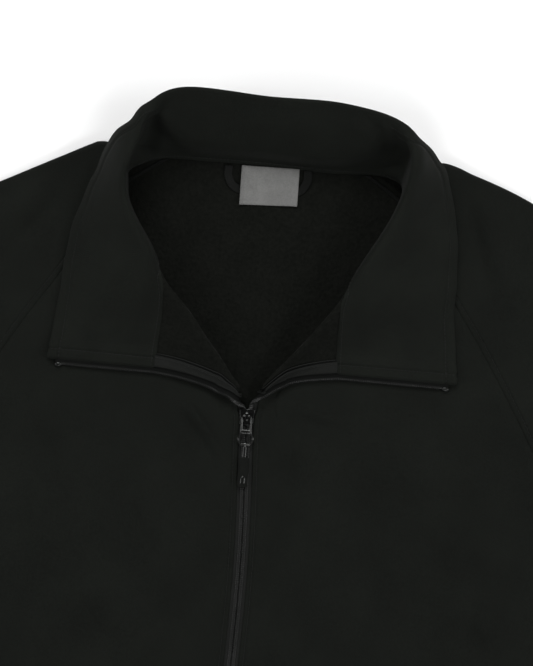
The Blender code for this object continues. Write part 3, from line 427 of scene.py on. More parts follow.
def creases(x, y, table):
    """Height added by the creases of a table.

    Each is a bell across the quadratic curve through its three points, narrower on one side than on the
    other, fading smoothly at both ends and waxing and waning a little on its way.
    """
    height = np.zeros_like(x)
    for row, (x0, y0, xm, ym, x1, y1, wide_left, wide_right, rise) in enumerate(table):
        t = np.linspace(0, 1, 13)[:, None]
        ends = np.array([[x0, y0], [2 * xm - (x0 + x1) / 2, 2 * ym - (y0 + y1) / 2], [x1, y1]], float)
        curve = (1 - t) ** 2 * ends[0] + 2 * t * (1 - t) * ends[1] + t * t * ends[2]
        reach = 3 * max(wide_left, wide_right)
        low, high = curve.min(0) - reach, curve.max(0) + reach
        near = (x > low[0]) & (x < high[0]) & (y > low[1]) & (y < high[1])
        if not near.any():
            continue
        place = np.stack([x[near], y[near]], axis=-1)[:, None]
        start, step = curve[:-1][None], np.diff(curve, axis=0)[None]
        share = np.clip(((place - start) * step).sum(-1) / (step**2).sum(-1), 0, 1)
        gap = place - (start + share[..., None] * step)
        away = np.linalg.norm(gap, axis=-1)
        nearest = away.argmin(axis=1)
        pick = np.arange(len(nearest))
        far = away[pick, nearest]
        turn = step[0, nearest, 0] * gap[pick, nearest, 1] - step[0, nearest, 1] * gap[pick, nearest, 0]
        wide = np.where(turn > 0, wide_left, wide_right)
        on_way = (nearest + share[pick, nearest]) / (len(curve) - 1)
        fade = smooth_step(on_way / 0.35) * smooth_step((1 - on_way) / 0.4)
        swell = 1 + 0.25 * np.sin(7.0 * on_way + 2.1 * row)
        height[near] += rise * fade * swell * np.exp(-((far / wide) ** 2))
    return height


def unevenness(x, y):
    """Slow soft waves of the laid cloth: a sum of sines over its plan."""
    return sum(
        high * np.sin(2 * math.pi * (in_x * x + in_y * y) * MM + phase)
        for in_x, in_y, phase, high in UNEVEN
    )


# The neck seam and the collar

def collar_table(side):
    """The collar's sections of one side, as named columns."""
    return columns(COLLAR_COLUMNS, COLLAR_LEFT if side > 0 else COLLAR_RIGHT)


CENTRE_ROW = len(COLLAR_LEFT) - 1
NECK = np.concatenate([collar_table(1)["neck"], collar_table(-1)["neck"][-2::-1]])


def neck_seam(rows):
    """Points of the neck seam at rows of the collar, counted from the left front round to the right.

    They lie on the cubic through the sections' neck points.
    """
    return through(NECK, rows)


def seam_row(side, row):
    """A side's own row as a row of the neck seam: the right side counts back from the seam's end."""
    return row if side > 0 else 2 * CENTRE_ROW - row


def collar_section(neck, lean, crest, rise, roll, top):
    """One section of the collar, as a fine path from the neck seam over its crest to its free edge.

    Two Bezier curves meet at the crest: the foot leaves the seam at its lean and reaches the crest at its
    rise, and the fall goes on over the roll and down to the edge.
    """
    out = unit((top - crest) * (1, 1, 0))
    up = np.array([0.0, 0.0, 1.0])
    leaving = out * math.cos(math.radians(lean)) + up * math.sin(math.radians(lean))
    rising = out * math.cos(math.radians(rise)) + up * math.sin(math.radians(rise))
    stand = np.linalg.norm(crest - neck)
    above = crest + rising * roll
    fall = bezier(crest, above, top + 0.45 * (above - top), top, 90)
    if stand < 0.5:
        return fall
    foot = bezier(neck, neck + leaving * 0.4 * stand, crest - rising * 0.4 * stand, crest, 40)
    return np.concatenate([foot, fall[1:]])


def spaced(path, cells, last):
    """Points of a path, closer where it turns, and at the given distances from its end.

    The cells share out a weight: the share of the length so far, plus the turning so far.
    """
    far = lengths(path)
    ahead = unit(np.diff(path, axis=0))
    turns = np.arccos(np.clip(np.sum(ahead[1:] * ahead[:-1], axis=1), -1, 1))
    weight = far / far[-1] + TURN_SHARE / math.pi * np.cumsum([0, *turns, 0])
    stop = np.interp(far[-1] - last[0], far, weight)
    inner = np.interp(np.linspace(0, stop, cells + 1), weight, far)
    return at_lengths(path, np.concatenate([inner, far[-1] - last[1:]]))


def collar_rows():
    """Row values along the collar: close at its two ends, where it is stitched, and even between."""
    near = np.linspace(0, 0.7, 22)
    middle = np.linspace(0.7, 2 * CENTRE_ROW - 0.7, COLLAR_ROWS)[1:-1]
    return np.concatenate([near, middle, 2 * CENTRE_ROW - near[::-1]])


def collar_grid():
    """The collar's outer layer: rows round the neck, columns from the neck seam to the free edge.

    Each row is a section spaced along its length. The corners are eased, then the grid moves along its
    normals by its creases, a slow unevenness and a wave of slack along the free edge.
    """
    rows = collar_rows()
    left, right = collar_table(1), collar_table(-1)
    names = ("neck", "lean", "crest", "rise", "roll", "top")
    values = [through(np.concatenate([left[name], right[name][-2::-1]]), rows) for name in names]
    last = np.linspace(COLLAR_EDGE, 0.0, COLLAR_EDGE_CELLS + 1)
    grid = np.stack([spaced(collar_section(*section), COLLAR_CELLS, last) for section in zip(*values)])
    from_end = np.minimum(rows, 2 * CENTRE_ROW - rows)
    cells = np.arange(grid.shape[1])
    corner = smooth_step((from_end - 1.2) / 0.8) * smooth_step((7.5 - from_end) / 2)
    inner = smooth_step(cells / 3) * smooth_step((cells[-1] - cells) / 16)
    grid = eased(grid, corner[:, None] * inner, CORNER_EASING)
    share = np.linspace(0, 1, len(cells))
    free = smooth_step(share / 0.15)
    x, y = grid[..., 0], grid[..., 1]
    lift = creases(x, y, COLLAR_CREASES) * free * smooth_step((1 - share) / 0.35)
    slack = EDGE_SLACK * np.sin(rows * 5.3)[:, None] * smooth_step((share - 0.6) / 0.4) * free
    lift += slack + 0.8 * free * unevenness(x, y)
    return grid + normals_of(grid, 1) * lift[..., None]


# Raglan seams and the fold over the shoulder

def raglan(side, table, row, fractions):
    """Points of a raglan seam from its neck row to the underarm, on the cubic through its table."""
    table = np.asarray(table, float) * (side, 1, 1)
    rows = np.concatenate([neck_seam([seam_row(side, row)]), table])
    knots = lengths(rows)
    points = through(rows, np.asarray(fractions) * knots[-1], knots)
    points[:, 2] = np.maximum(points[:, 2], LOWER)
    return points


def raglan_stations():
    """Fractions of the raglan seams at which their panels have a point, neck to underarm.

    They are even down to the slider's level and even again below it.
    """
    rows = raglan(1, RAGLAN_FRONT, RAGLAN_FRONT_ROW, np.linspace(0, 1, 400))
    level = np.interp(0.0, -rows[:, 1], np.linspace(0, 1, 400))
    return np.concatenate([
        np.linspace(0, level, LAPEL_ROWS + 1),
        np.linspace(level, 1, ARM_ROWS + 1)[1:],
    ])


def fading(count, places, values):
    """A share for each of the first rows, given at rows of the part's coarser lapel."""
    return np.interp(np.arange(count) * COARSE_ROWS / LAPEL_ROWS, places, values)


# The panels. Each gives a grid of points at the middle of the cloth.

def zip_line(y):
    """Sideways place of the closed zip: half a sine wave, raised to a power, below the slider."""
    t = np.clip((-y - 14.0) / ZIP_BOW_LENGTH, 0, 1)
    return ZIP_BOW * np.sin(math.pi * t) ** 1.2


def flat_fractions(length):
    """Places across the flat part of a front, closer near the zip and where it comes down to its seam.

    They mix an even spacing with its square, by a share that grows with the part's length.
    """
    drop = EDGE_DROP / length
    even = np.linspace(0, 1, FLAT_CELLS - DROP_CELLS + 1)
    bias = np.clip((length - 150) / 250, 0, 0.6)
    return np.concatenate([
        ((1 - bias) * even + bias * even**2) * (1 - drop),
        np.linspace(1 - drop, 1, DROP_CELLS + 1)[1:],
    ])


def roll_path(edge, crest, roll, outer, reach, lift):
    """One row of a front: from the zip edge up to the crest, under it to the foot, out to the seam.

    The first two parts are Bezier curves that meet upright at the crest, and the third is straight.
    """
    up = np.array([0.0, 0.0, 1.0])
    out = unit((outer - crest) * (1, 1, 0))
    foot = crest + out * reach
    foot[2] = outer[2]
    drop = crest[2] - foot[2]
    leaving = 0.35 * (crest - edge) * (1, 1, lift)
    folded = bezier(edge, edge + leaving, crest + up * roll, crest, 60)
    under = bezier(crest, crest - up * 0.5 * drop, foot - out * 0.5 * reach, foot, 60)
    flat = np.linspace(foot, outer, 60)
    return np.concatenate([
        along(folded, np.linspace(0, 1, LAPEL_CELLS + 1)),
        along(under, np.linspace(0, 1, ROLL_CELLS + 1)[1:]),
        along(flat, flat_fractions(np.linalg.norm(outer - foot))[1:]),
    ])


def front_grid(side):
    """A front: rows from the neck seam down to the hem, columns from the zip to the outer seam.

    Above the slider each row is a roll path between the zip edge and the raglan seam, moved to meet the
    neck seam. Below it each row is level, and comes down to its seam by a soft step. The rows round the
    slider are eased, and the free cloth is lifted by its creases and a slow unevenness.
    """
    table = columns(LAPEL_COLUMNS, LAPEL_LEFT if side > 0 else LAPEL_RIGHT)
    outer = raglan(side, RAGLAN_FRONT, RAGLAN_FRONT_ROW, raglan_stations())
    steps = np.linspace(len(LAPEL_LEFT) - 1, 0, LAPEL_ROWS + 1)
    edges = through(table["edge"], steps)
    crests = through(table["crest"], steps)
    rolls = np.interp(steps, np.arange(len(LAPEL_LEFT)), table["roll"])
    reaches = ROLL_REACH[0] + ROLL_REACH[1] * (crests[:, 2] - UPPER)
    lifts = np.clip(2 - steps, 0, 1)
    lapel = np.stack([roll_path(*row) for row in zip(edges, crests, rolls, outer, reaches, lifts)])
    cells = np.concatenate([
        np.linspace(0, 3, LAPEL_CELLS + 1),
        3 + np.linspace(0, 1, ROLL_CELLS + FLAT_CELLS + 1)[1:] * (RAGLAN_FRONT_ROW - 3),
    ])
    correction = neck_seam(seam_row(side, cells)) - lapel[0]
    lapel += correction[None] * smooth_step((steps - 3.5) / 2.5)[:, None, None]

    below = np.concatenate([outer[LAPEL_ROWS + 1:], side_seam(side, STACKED)[1:]])
    spread = SLIDER_SPREAD * smooth_step(1 + below[:, 1] / 9)
    apart = side * (CHAIN_HALF + spread) + zip_line(below[:, 1])
    start = np.stack([apart, below[:, 1], np.full(len(below), UPPER)], axis=-1)
    near = start + np.linspace(0, side * CHAIN_HALF, LAPEL_CELLS + 1)[:, None, None] * (1, 0, 0)
    beside = near[-1] + np.linspace(0, side * BESIDE_ZIP, ROLL_CELLS + 1)[1:, None, None] * (1, 0, 0)
    wide = np.abs(below[:, 0] - beside[-1][:, 0])
    shelf = np.stack([flat_fractions(length)[1:] for length in wide], axis=0)
    rest = beside[-1][:, None] + (below - beside[-1])[:, None] * shelf[..., None]
    down = smooth_step((shelf - 1) * wide[:, None] / EDGE_DROP + 1)
    rest[..., 2] = UPPER + (below[:, None, 2] - UPPER) * down
    flat = np.concatenate([near.swapaxes(0, 1), beside.swapaxes(0, 1), rest], axis=1)
    grid = np.concatenate([lapel, flat])

    rows = np.arange(len(grid))[:, None]
    cells = np.arange(grid.shape[1])[None]
    near_top = smooth_step((26 - np.abs(grid[..., 1] + 2)) / 16) * smooth_step((cells - 20) / 16)
    near_top = near_top * smooth_step((60 - np.abs(grid[..., 0])) / 25) * (cells < grid.shape[1] - 1)
    grid = eased(grid, near_top, TOP_EASING)
    x, y = grid[..., 0], grid[..., 1]
    under = cells >= LAPEL_CELLS + ROLL_CELLS
    below_zip_top = smooth_step(-y / 14) * (rows > LAPEL_ROWS)
    seen = np.where(under, smooth_step((rows - 30) / 20), below_zip_top)
    beside_zip = smooth_step((np.abs(x - zip_line(y)) - 9) / 14)
    to_seam = smooth_step((grid.shape[1] - 1 - cells) / DROP_CELLS)
    free = seen * beside_zip * to_seam
    grid[..., 2] += free * (creases(x, y, FRONT_CREASES) + unevenness(x, y) + LAID_LIFT)
    return grid


def eased(grid, share, times):
    """The grid with each inner point moved by its share towards the mean of its four neighbours, many times."""
    grid = grid.copy()
    inner = grid[1:-1, 1:-1]
    pace = 0.8 * share[1:-1, 1:-1, None]
    for _ in range(times):
        mean = (grid[:-2, 1:-1] + grid[2:, 1:-1] + grid[1:-1, :-2] + grid[1:-1, 2:]) / 4
        inner += pace * (mean - inner)
    return grid


def side_seam(side, height):
    """Points of a side seam from the underarm to the hem, on the curve through its three widths."""
    y = np.linspace(UNDERARM[1], HEM_Y, SIDE_ROWS + 1)
    knots = np.array([HEM_Y, 0.5 * (HEM_Y + UNDERARM[1]), UNDERARM[1]])
    x = through([HEM_HALF, WAIST_HALF, UNDERARM[0]], y, knots)
    return np.stack([side * x, y, np.full_like(y, height)], axis=-1)


def back_grid():
    """The back: rows from the neck seam down to the hem, columns from the left seam to the right.

    Each row is straight between the two seams, and the first rows are moved to meet the neck seam.
    """
    stations = raglan_stations()
    left, right = (
        np.concatenate([
            raglan(side, RAGLAN_BACK, RAGLAN_BACK_ROW, stations),
            side_seam(side, LOWER)[1:],
        ])
        for side in (1, -1)
    )
    across = np.linspace(0, 1, BACK_CELLS + 1)[None, :, None]
    grid = left[:, None] * (1 - across) + right[:, None] * across
    first = RAGLAN_BACK_ROW
    top = neck_seam(np.linspace(first, 2 * CENTRE_ROW - first, BACK_CELLS + 1))
    fade = fading(len(grid), (0, 1.5), (1, 0))
    grid += (top - grid[0])[None] * fade[:, None, None]
    return grid


def cuff_ends(side):
    """Top and bottom corners of a cuff: the sleeve's length down its slope, and the cuff's width across it."""
    along_fold = np.array([math.cos(SLEEVE_SLOPE), -math.sin(SLEEVE_SLOPE)])
    across = np.array([-math.sin(SLEEVE_SLOPE), -math.cos(SLEEVE_SLOPE)])
    top = np.array(SHOULDER) + along_fold * SLEEVE_LENGTH
    bottom = top + across * CUFF
    return top * (side, 1), bottom * (side, 1)


def sleeve_row(front, fold, back):
    """One row of a sleeve: the upper half to the fold, round it, and back along the lower half.

    The upper half climbs from the seam by a soft step and settles to the fold by a square. The fold is half
    a circle, and the lower half is straight.
    """
    line, z, half = fold[:2], fold[2], fold[3]
    inward = unit((front[:2] + back[:2]) / 2 - line)
    angles = np.linspace(math.pi / 2, -math.pi / 2, FOLD_CELLS + 1)
    centre = line + inward * half
    bend = np.column_stack([
        centre - np.cos(angles)[:, None] * inward * half,
        z + np.sin(angles) * half,
    ])
    long = np.linalg.norm(bend[0] - front)
    drop = min(0.25, EDGE_DROP / long)
    shelf = np.concatenate([
        np.linspace(0, drop, DROP_CELLS + 1),
        np.linspace(drop, 1, SLEEVE_CELLS - DROP_CELLS + 1)[1:],
    ])
    upper = front + (bend[0] - front) * shelf[:, None]
    slope = np.clip((shelf - drop) / (1 - drop), 0, 1)
    settled = np.where(
        shelf < drop,
        front[2] + (UPPER - front[2]) * smooth_step(shelf / drop),
        UPPER + (bend[0, 2] - UPPER) * slope**2,
    )
    near_neck = smooth_step((front[2] - UPPER) / 3)
    upper[:, 2] = settled + (upper[:, 2] - settled) * near_neck
    upper[0, 2] = front[2]
    lower = np.linspace(bend[-1], back, SLEEVE_CELLS + 1)
    return np.concatenate([upper, bend[1:-1], lower])


def sleeve_grid(side):
    """A sleeve: rows from the neck seam to the cuff, columns from the front seam round to the back.

    Each row joins a point of the front seam, one of the shoulder's fold and one of the back seam. The first
    rows are moved to meet the neck seam, and the free upper half is lifted by its creases.
    """
    stations = raglan_stations()
    front = raglan(side, RAGLAN_FRONT, RAGLAN_FRONT_ROW, stations)
    back = raglan(side, RAGLAN_BACK, RAGLAN_BACK_ROW, stations)
    top, bottom = cuff_ends(side)
    shoulder = np.asarray(FOLD_LEFT if side > 0 else FOLD_RIGHT)
    cuff_fold = np.array([*top, (UPPER + LOWER) / 2, (UPPER - LOWER) / 2])
    bend = shoulder[-1] + (cuff_fold - shoulder[-1]) * 0.12
    path = np.concatenate([shoulder, [bend, cuff_fold]])
    knots = lengths(path[:, :3])
    upper_arm = knots[len(shoulder) - 1] + 150.0
    at = np.concatenate([
        np.linspace(0, upper_arm, len(stations)) ** 1.15 * upper_arm**-0.15,
        np.linspace(upper_arm, knots[-1], SLEEVE_ROWS + 1)[1:],
    ])
    folds = np.stack([np.interp(at, knots, path[:, i]) for i in range(4)], axis=-1)
    folds[:, :3] = through(path[:, :3], at, knots)
    folds[:, 2] = np.maximum(folds[:, 2], LOWER + folds[:, 3])
    arm = np.linspace(0, 1, SLEEVE_ROWS + 1)[1:, None]
    start = np.array(UNDERARM) * (side, 1)
    seam = start + (bottom - start) * arm
    front = np.concatenate([front, np.column_stack([seam, np.full(len(seam), STACKED)])])
    back = np.concatenate([back, np.column_stack([seam, np.full(len(seam), LOWER)])])
    grid = np.stack([sleeve_row(*row) for row in zip(front, folds, back)])
    cap = np.linspace(RAGLAN_FRONT_ROW, RAGLAN_BACK_ROW, grid.shape[1])
    correction = neck_seam(seam_row(side, cap)) - grid[0]
    hold = SLEEVE_HOLD[side]
    fade = fading(len(grid), (0, hold, 2 * hold, 3 * hold), (1, 0.35, 0.08, 0))
    grid += correction[None] * fade[:, None, None]
    grid[1:len(stations), 0] = front[1:len(stations)]
    grid[1:len(stations), -1] = back[1:len(stations)]

    x, y = grid[..., 0], grid[..., 1]
    cells = np.arange(grid.shape[1])
    on_top = smooth_step(cells / DROP_CELLS) * smooth_step((SLEEVE_CELLS - cells) / 8)
    past_neck = smooth_step((np.arange(len(grid)) - 26) / 20)
    free = past_neck[:, None] * on_top[None]
    grid[..., 2] += free * (creases(x, y, SLEEVE_CREASES) + unevenness(x, y) + LAID_LIFT)
    return grid


# Meshes

def drifted(points):
    """The points with the cloth's idle drift: slow sideways waves, growing from nothing at the chest.

    Each wave is a sine of the place along the piece, up to a few millimetres, so that seams and edges
    laid down by hand aren't ruled lines.
    """
    x, y = points[:, 0], points[:, 1]
    past_chest = smooth_step((-y - 190) / 160) * smooth_step((420 - np.abs(x)) / 120)
    past_shoulder = smooth_step((np.abs(x) - 215) / 160)
    moved = points.copy()
    moved[:, 0] += past_chest * (3.2 * np.sin(y / 62 + 0.6) + 1.4 * np.sin(y / 27)) * np.clip(x / 300, -1, 1)
    moved[:, 0] += past_chest * 1.6 * np.sin(y / 95 + 1.2) * smooth_step((np.abs(x) - 40) / 120)
    moved[:, 1] += past_chest * 3.0 * np.sin(x / 74 + 0.9) * smooth_step((np.abs(x) - 30) / 60)
    moved[:, 1] += past_shoulder * (4.0 * np.sin(np.abs(x) / 58 + 0.4) + 1.6 * np.sin(x / 29))
    moved[:, 0] += past_shoulder * np.sign(x) * 2.2 * np.sin(y / 41)
    return moved


def placed(points):
    """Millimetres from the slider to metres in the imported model's frame."""
    return (drifted(np.asarray(points, float)) - (0, MIDDLE_Y, 0)) * MM


def add_piece(name, points, faces, finish, body=BODY, slot=None, replaces=(), smooth=True, weave=None,
              lining=None, lined=None):
    """A mesh, riding on a body, in the place of its solids.

    weave holds its cloth coordinates. The faces marked in lined have the lining's finish. slot is not used.
    """
    points = placed(points)
    mesh = bpy.data.meshes.new(name)
    mesh.from_pydata(points.tolist(), [], faces)
    if smooth:
        mesh.shade_smooth()
        mesh.set_sharp_from_angle(angle=math.radians(55))
    if weave is not None:
        layer = mesh.uv_layers.new(name="weave")
        corner = np.empty(len(mesh.loops), dtype=np.int32)
        mesh.loops.foreach_get("vertex_index", corner)
        layer.data.foreach_set("uv", (weave[corner] * MM).ravel())
    piece = bpy.data.objects.new(name, mesh)
    piece.data.materials.append(finish[0])
    if lining:
        piece.data.materials.append(lining[0])
        mesh.polygons.foreach_set("material_index", lined.astype(np.int32))
    bpy.context.scene.collection.objects.link(piece)
    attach(piece, body)
    if replaces:
        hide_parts(*([replaces] if isinstance(replaces, str) else replaces))
    return piece


def outwards(points, faces):
    """The faces, all turned round if they enclose a negative volume."""
    faces = np.asarray(faces)
    a, b, c = points[faces[:, 0]], points[faces[:, 1]], points[faces[:, 2]]
    volume = np.sum(a * np.cross(b, c))
    if faces.shape[1] == 4:
        volume += np.sum(a * np.cross(c, points[faces[:, 3]]))
    return faces if volume > 0 else faces[:, ::-1]


def wall(name, grid, normals, finish, thick=SHELL, offset=0.0, weave_at=None, **ways):
    """A closed sheet: the grid moved half its thickness along the normals each way, with a round rim.

    The rim's middle stands out from the grid's border, away from the next point inwards. A lining is the
    finish of the skin that the normals point to.
    """
    rows, across = grid.shape[:2]
    half = np.broadcast_to(np.asarray(thick, float) / 2, (rows, across))[..., None]
    lift = np.broadcast_to(np.asarray(offset, float), (rows, across))[..., None]
    skins = [grid + normals * (lift + sign * half) for sign in (-1, 1)]
    index = np.arange(rows * across).reshape(rows, across)
    rim = np.concatenate([index[0], index[1:, -1], index[-1, -2::-1], index[-2:0:-1, 0]])
    row, column = np.divmod(rim, across)
    inner = grid[np.clip(row, 1, rows - 2), np.clip(column, 1, across - 2)]
    edge = grid[row, column]
    middle = edge + normals[row, column] * lift[row, column] + unit(edge - inner) * half[row, column] * 0.8
    points = np.concatenate([skins[0].reshape(-1, 3), skins[1].reshape(-1, 3), middle])
    skin = np.stack([index[:-1, :-1], index[1:, :-1], index[1:, 1:], index[:-1, 1:]], axis=-1).reshape(-1, 4)
    ahead = np.roll(rim, -1)
    far = rows * across
    mid = 2 * far + np.arange(len(rim))
    mid_ahead = np.roll(mid, -1)
    faces = np.concatenate([
        skin,
        skin[:, ::-1] + far,
        np.stack([rim, ahead, mid_ahead, mid], axis=-1),
        np.stack([mid, mid_ahead, ahead + far, rim + far], axis=-1),
    ])
    if weave_at is None:
        weave_at = np.stack([run(grid, 1), run(grid, 0)], axis=-1)
    flat = weave_at.reshape(-1, 2)
    weave = np.concatenate([flat, flat, flat[rim]])
    lined = np.zeros(len(faces))
    lined[len(skin) : 2 * len(skin)] = 1
    return add_piece(name, points, outwards(points, faces).tolist(), finish, weave=weave, lined=lined, **ways)


def trimmed(grid, first_row=False, first_column=False, last_column=False, half=SEAM / 2):
    """The grid with these edges drawn back by half of a seam's gap."""
    grid = grid.copy()
    if first_row:
        grid[0] += unit(grid[1] - grid[0]) * half
    if first_column:
        grid[:, 0] += unit(grid[:, 1] - grid[:, 0]) * half
    if last_column:
        grid[:, -1] += unit(grid[:, -2] - grid[:, -1]) * half
    return grid


def run(grid, axis):
    """Distance over the cloth along one axis of a grid, from its first row or column."""
    steps = np.linalg.norm(np.diff(grid, axis=axis), axis=-1)
    return np.cumsum(np.pad(steps, ((1 - axis, 0), (axis, 0))), axis=axis)


def from_edges(grid):
    """Distance of each point from the first and last row and the first and last column, over the cloth."""
    down, over = run(grid, 0), run(grid, 1)
    return down, down[-1] - down, over, over[:, -1:] - over


def pressed(distance, place, wide=1.1):
    """How strongly a stitched line at a place presses the cloth, at these distances: a narrow bell."""
    return np.exp(-(((distance - place) / wide) ** 2))


def pressed_thin(lines):
    """The cloth's thickness, half of it gone where a stitched line presses it."""
    return SHELL * (1 - 0.5 * np.clip(lines, 0, 1))


def drawn_down(seam, lines):
    """How far the cloth sinks: deepest at a seam, fading as an exponential, and a little at stitched lines."""
    return SEAM_DIP * np.exp(-seam / SEAM_REACH) + 0.12 * lines


def tubes(points, rings, sides, count=1):
    """Points and faces of tubes that follow one another in the points: quads round each, a cap at each end."""
    index = np.arange(rings * sides).reshape(rings, sides)
    after = np.roll(index, -1, axis=1)
    quads = np.stack([index[:-1], after[:-1], after[1:], index[1:]], axis=-1).reshape(-1, 4)
    starts = np.arange(count)[:, None] * rings * sides
    points = points.reshape(-1, 3)
    faces = outwards(points, (quads[None] + starts[..., None]).reshape(-1, 4))
    caps = (index[0, ::-1], index[-1])
    if faces[0, 0] != quads[0, 0]:
        caps = (index[0], index[-1, ::-1])
    return points, faces.tolist() + [face for cap in caps for face in (cap + starts).tolist()]


def carried(profile, places, side, up, closed=False):
    """Points and faces of a profile of (side, up) points carried along a path of places."""
    rings = places[:, None] + profile[None, :, :1] * side[:, None] + profile[None, :, 1:] * up[:, None]
    if not closed:
        return tubes(rings, *rings.shape[:2])
    index = np.arange(rings.shape[0] * rings.shape[1]).reshape(rings.shape[:2])
    after = np.roll(index, -1, axis=1)
    ahead, ahead_after = np.roll(index, -1, axis=0), np.roll(after, -1, axis=0)
    faces = np.stack([index, after, ahead_after, ahead], axis=-1).reshape(-1, 4)
    rings = rings.reshape(-1, 3)
    return rings, outwards(rings, faces).tolist()


def bars(root, along_it, side, up, stations, wide, high, rise, ring):
    """Rings of a bar at each root: a profile at each station along it, with its own width, height and rise."""
    return (
        root[:, None, None]
        + along_it[:, None, None] * stations[:, None, None]
        + side[:, None, None] * (wide[:, None] * ring[:, 0])[..., None]
        + up[:, None, None] * (rise[:, None] + high[:, None] * ring[:, 1])[..., None]
    )


def circle(count, start=0.0):
    """Points of a unit circle, anticlockwise, without its last."""
    turn = np.linspace(0, 2 * math.pi, count + 1)[:-1] + start
    return np.stack([np.cos(turn), np.sin(turn)], axis=-1)


def joined(shapes):
    """Several (points, faces) as one."""
    points, faces, count = [], [], 0
    for some_points, some_faces in shapes:
        points.append(some_points)
        faces += [[corner + count for corner in face] for face in some_faces]
        count += len(some_points)
    return np.concatenate(points), faces


def rounded(width, height, corner, cells=3):
    """A rounded rectangle as (side, up) points, anticlockwise."""
    turn = np.linspace(0, math.pi / 2, cells + 1)
    bend = np.stack([np.cos(turn), np.sin(turn)], axis=-1) * corner
    inner = np.array([width / 2 - corner, height / 2 - corner])
    signs = ((1, 1), (-1, 1), (-1, -1), (1, -1))
    corners = []
    for number, sign in enumerate(signs):
        part = bend * sign + inner * sign
        corners.append(part if number % 2 == 0 else part[::-1])
    return np.concatenate(corners)


def framed(path, up=(0.0, 0.0, 1.0), closed=False):
    """The side and up directions along a path."""
    ahead = np.roll(path, -1, axis=0) - np.roll(path, 1, axis=0) if closed else np.gradient(path, axis=0)
    ahead = unit(ahead)
    side = unit(np.cross(ahead, np.broadcast_to(np.asarray(up, float), path.shape)))
    return side, np.cross(side, ahead)


def plate(outline, low, high, edge, steps=3):
    """A flat solid: an outline lifted from low to high, drawn in along a quarter circle at its edges."""
    outline = np.asarray(outline, float)
    turn = np.linspace(0, math.pi / 2, steps + 1)
    tangent = unit(np.roll(outline, -1, axis=0) - np.roll(outline, 1, axis=0))
    inwards = np.stack([-tangent[:, 1], tangent[:, 0]], axis=-1)
    area = np.sum(outline[:, 0] * np.roll(outline[:, 1], -1) - outline[:, 1] * np.roll(outline[:, 0], -1))
    inwards *= 1 if area > 0 else -1
    levels = [(low + edge * (1 - math.sin(t)), edge * (1 - math.cos(t))) for t in turn[::-1]]
    levels += [(high - edge * (1 - math.sin(t)), edge * (1 - math.cos(t))) for t in turn]
    rings = np.stack([
        np.column_stack([outline + inwards * drawn_in, np.full(len(outline), z)]) for z, drawn_in in levels
    ])
    return tubes(rings, *rings.shape[:2])


def both_sides(half):
    """A closed outline from its +X half, given from top to bottom."""
    half = np.asarray(half, float)
    return np.concatenate([half[::-1], half * (-1, 1)])


# Thread

def stitch_shapes(path, up):
    """Points and faces of a stitched line: short bars along a path, each arched with its ends sunk in."""
    far = lengths(path)
    count = max(2, int(far[-1] / STITCH))
    at = (np.arange(count) + 0.5) * far[-1] / count
    lifted = unit(read_at(far, up, at))
    ahead = unit(at_lengths(path, at + 0.4) - at_lengths(path, at - 0.4))
    side = unit(np.cross(ahead, lifted))
    stations, sizes, heights = np.array(STITCH_BAR).T
    rings = bars(at_lengths(path, at), ahead, side, lifted, stations * STITCH, sizes * THREAD, sizes * THREAD,
                 heights * THREAD, circle(5))
    return tubes(rings, *rings.shape[1:3], count)


def sewn(name, lines):
    """A piece of thread: the stitches of each line, which is its path and its upward directions."""
    return add_piece(name, *joined([stitch_shapes(*line) for line in lines]), THREAD_FINISH)


def inset(grid, normals, distance, height, from_end=False, first=0, last=None):
    """A line on the cloth at a distance in from the first or last column, raised to a height."""
    points, facing = [], []
    for line, normal in zip(grid[first:last], normals[first:last]):
        if from_end:
            line, normal = line[::-1], normal[::-1]
        far = lengths(line)
        points.append(read_at(far, line, distance))
        facing.append(read_at(far, normal, distance))
    facing = unit(np.array(facing))
    return np.array(points) + facing * height, facing


def edge_and_hem(grid, facing, thick, place, first=0):
    """Stitch lines on a panel's outside: one in from its first column, and one in from its last row."""
    outside = grid - facing * (thick / 2)[..., None]
    return [
        inset(outside, -facing, place, THREAD_RISE, first=first),
        inset(outside.swapaxes(0, 1), -facing.swapaxes(0, 1), HEM_STITCH, THREAD_RISE, from_end=True),
    ]


# Finishes

def socket(group, name, kind, low=None, is_input=True):
    """A named socket on a node group, with its value when nothing is joined to it."""
    made = group.interface.new_socket(
        name=name, in_out="INPUT" if is_input else "OUTPUT", socket_type="NodeSocket" + kind
    )
    if low is not None:
        made.default_value = low
    return made


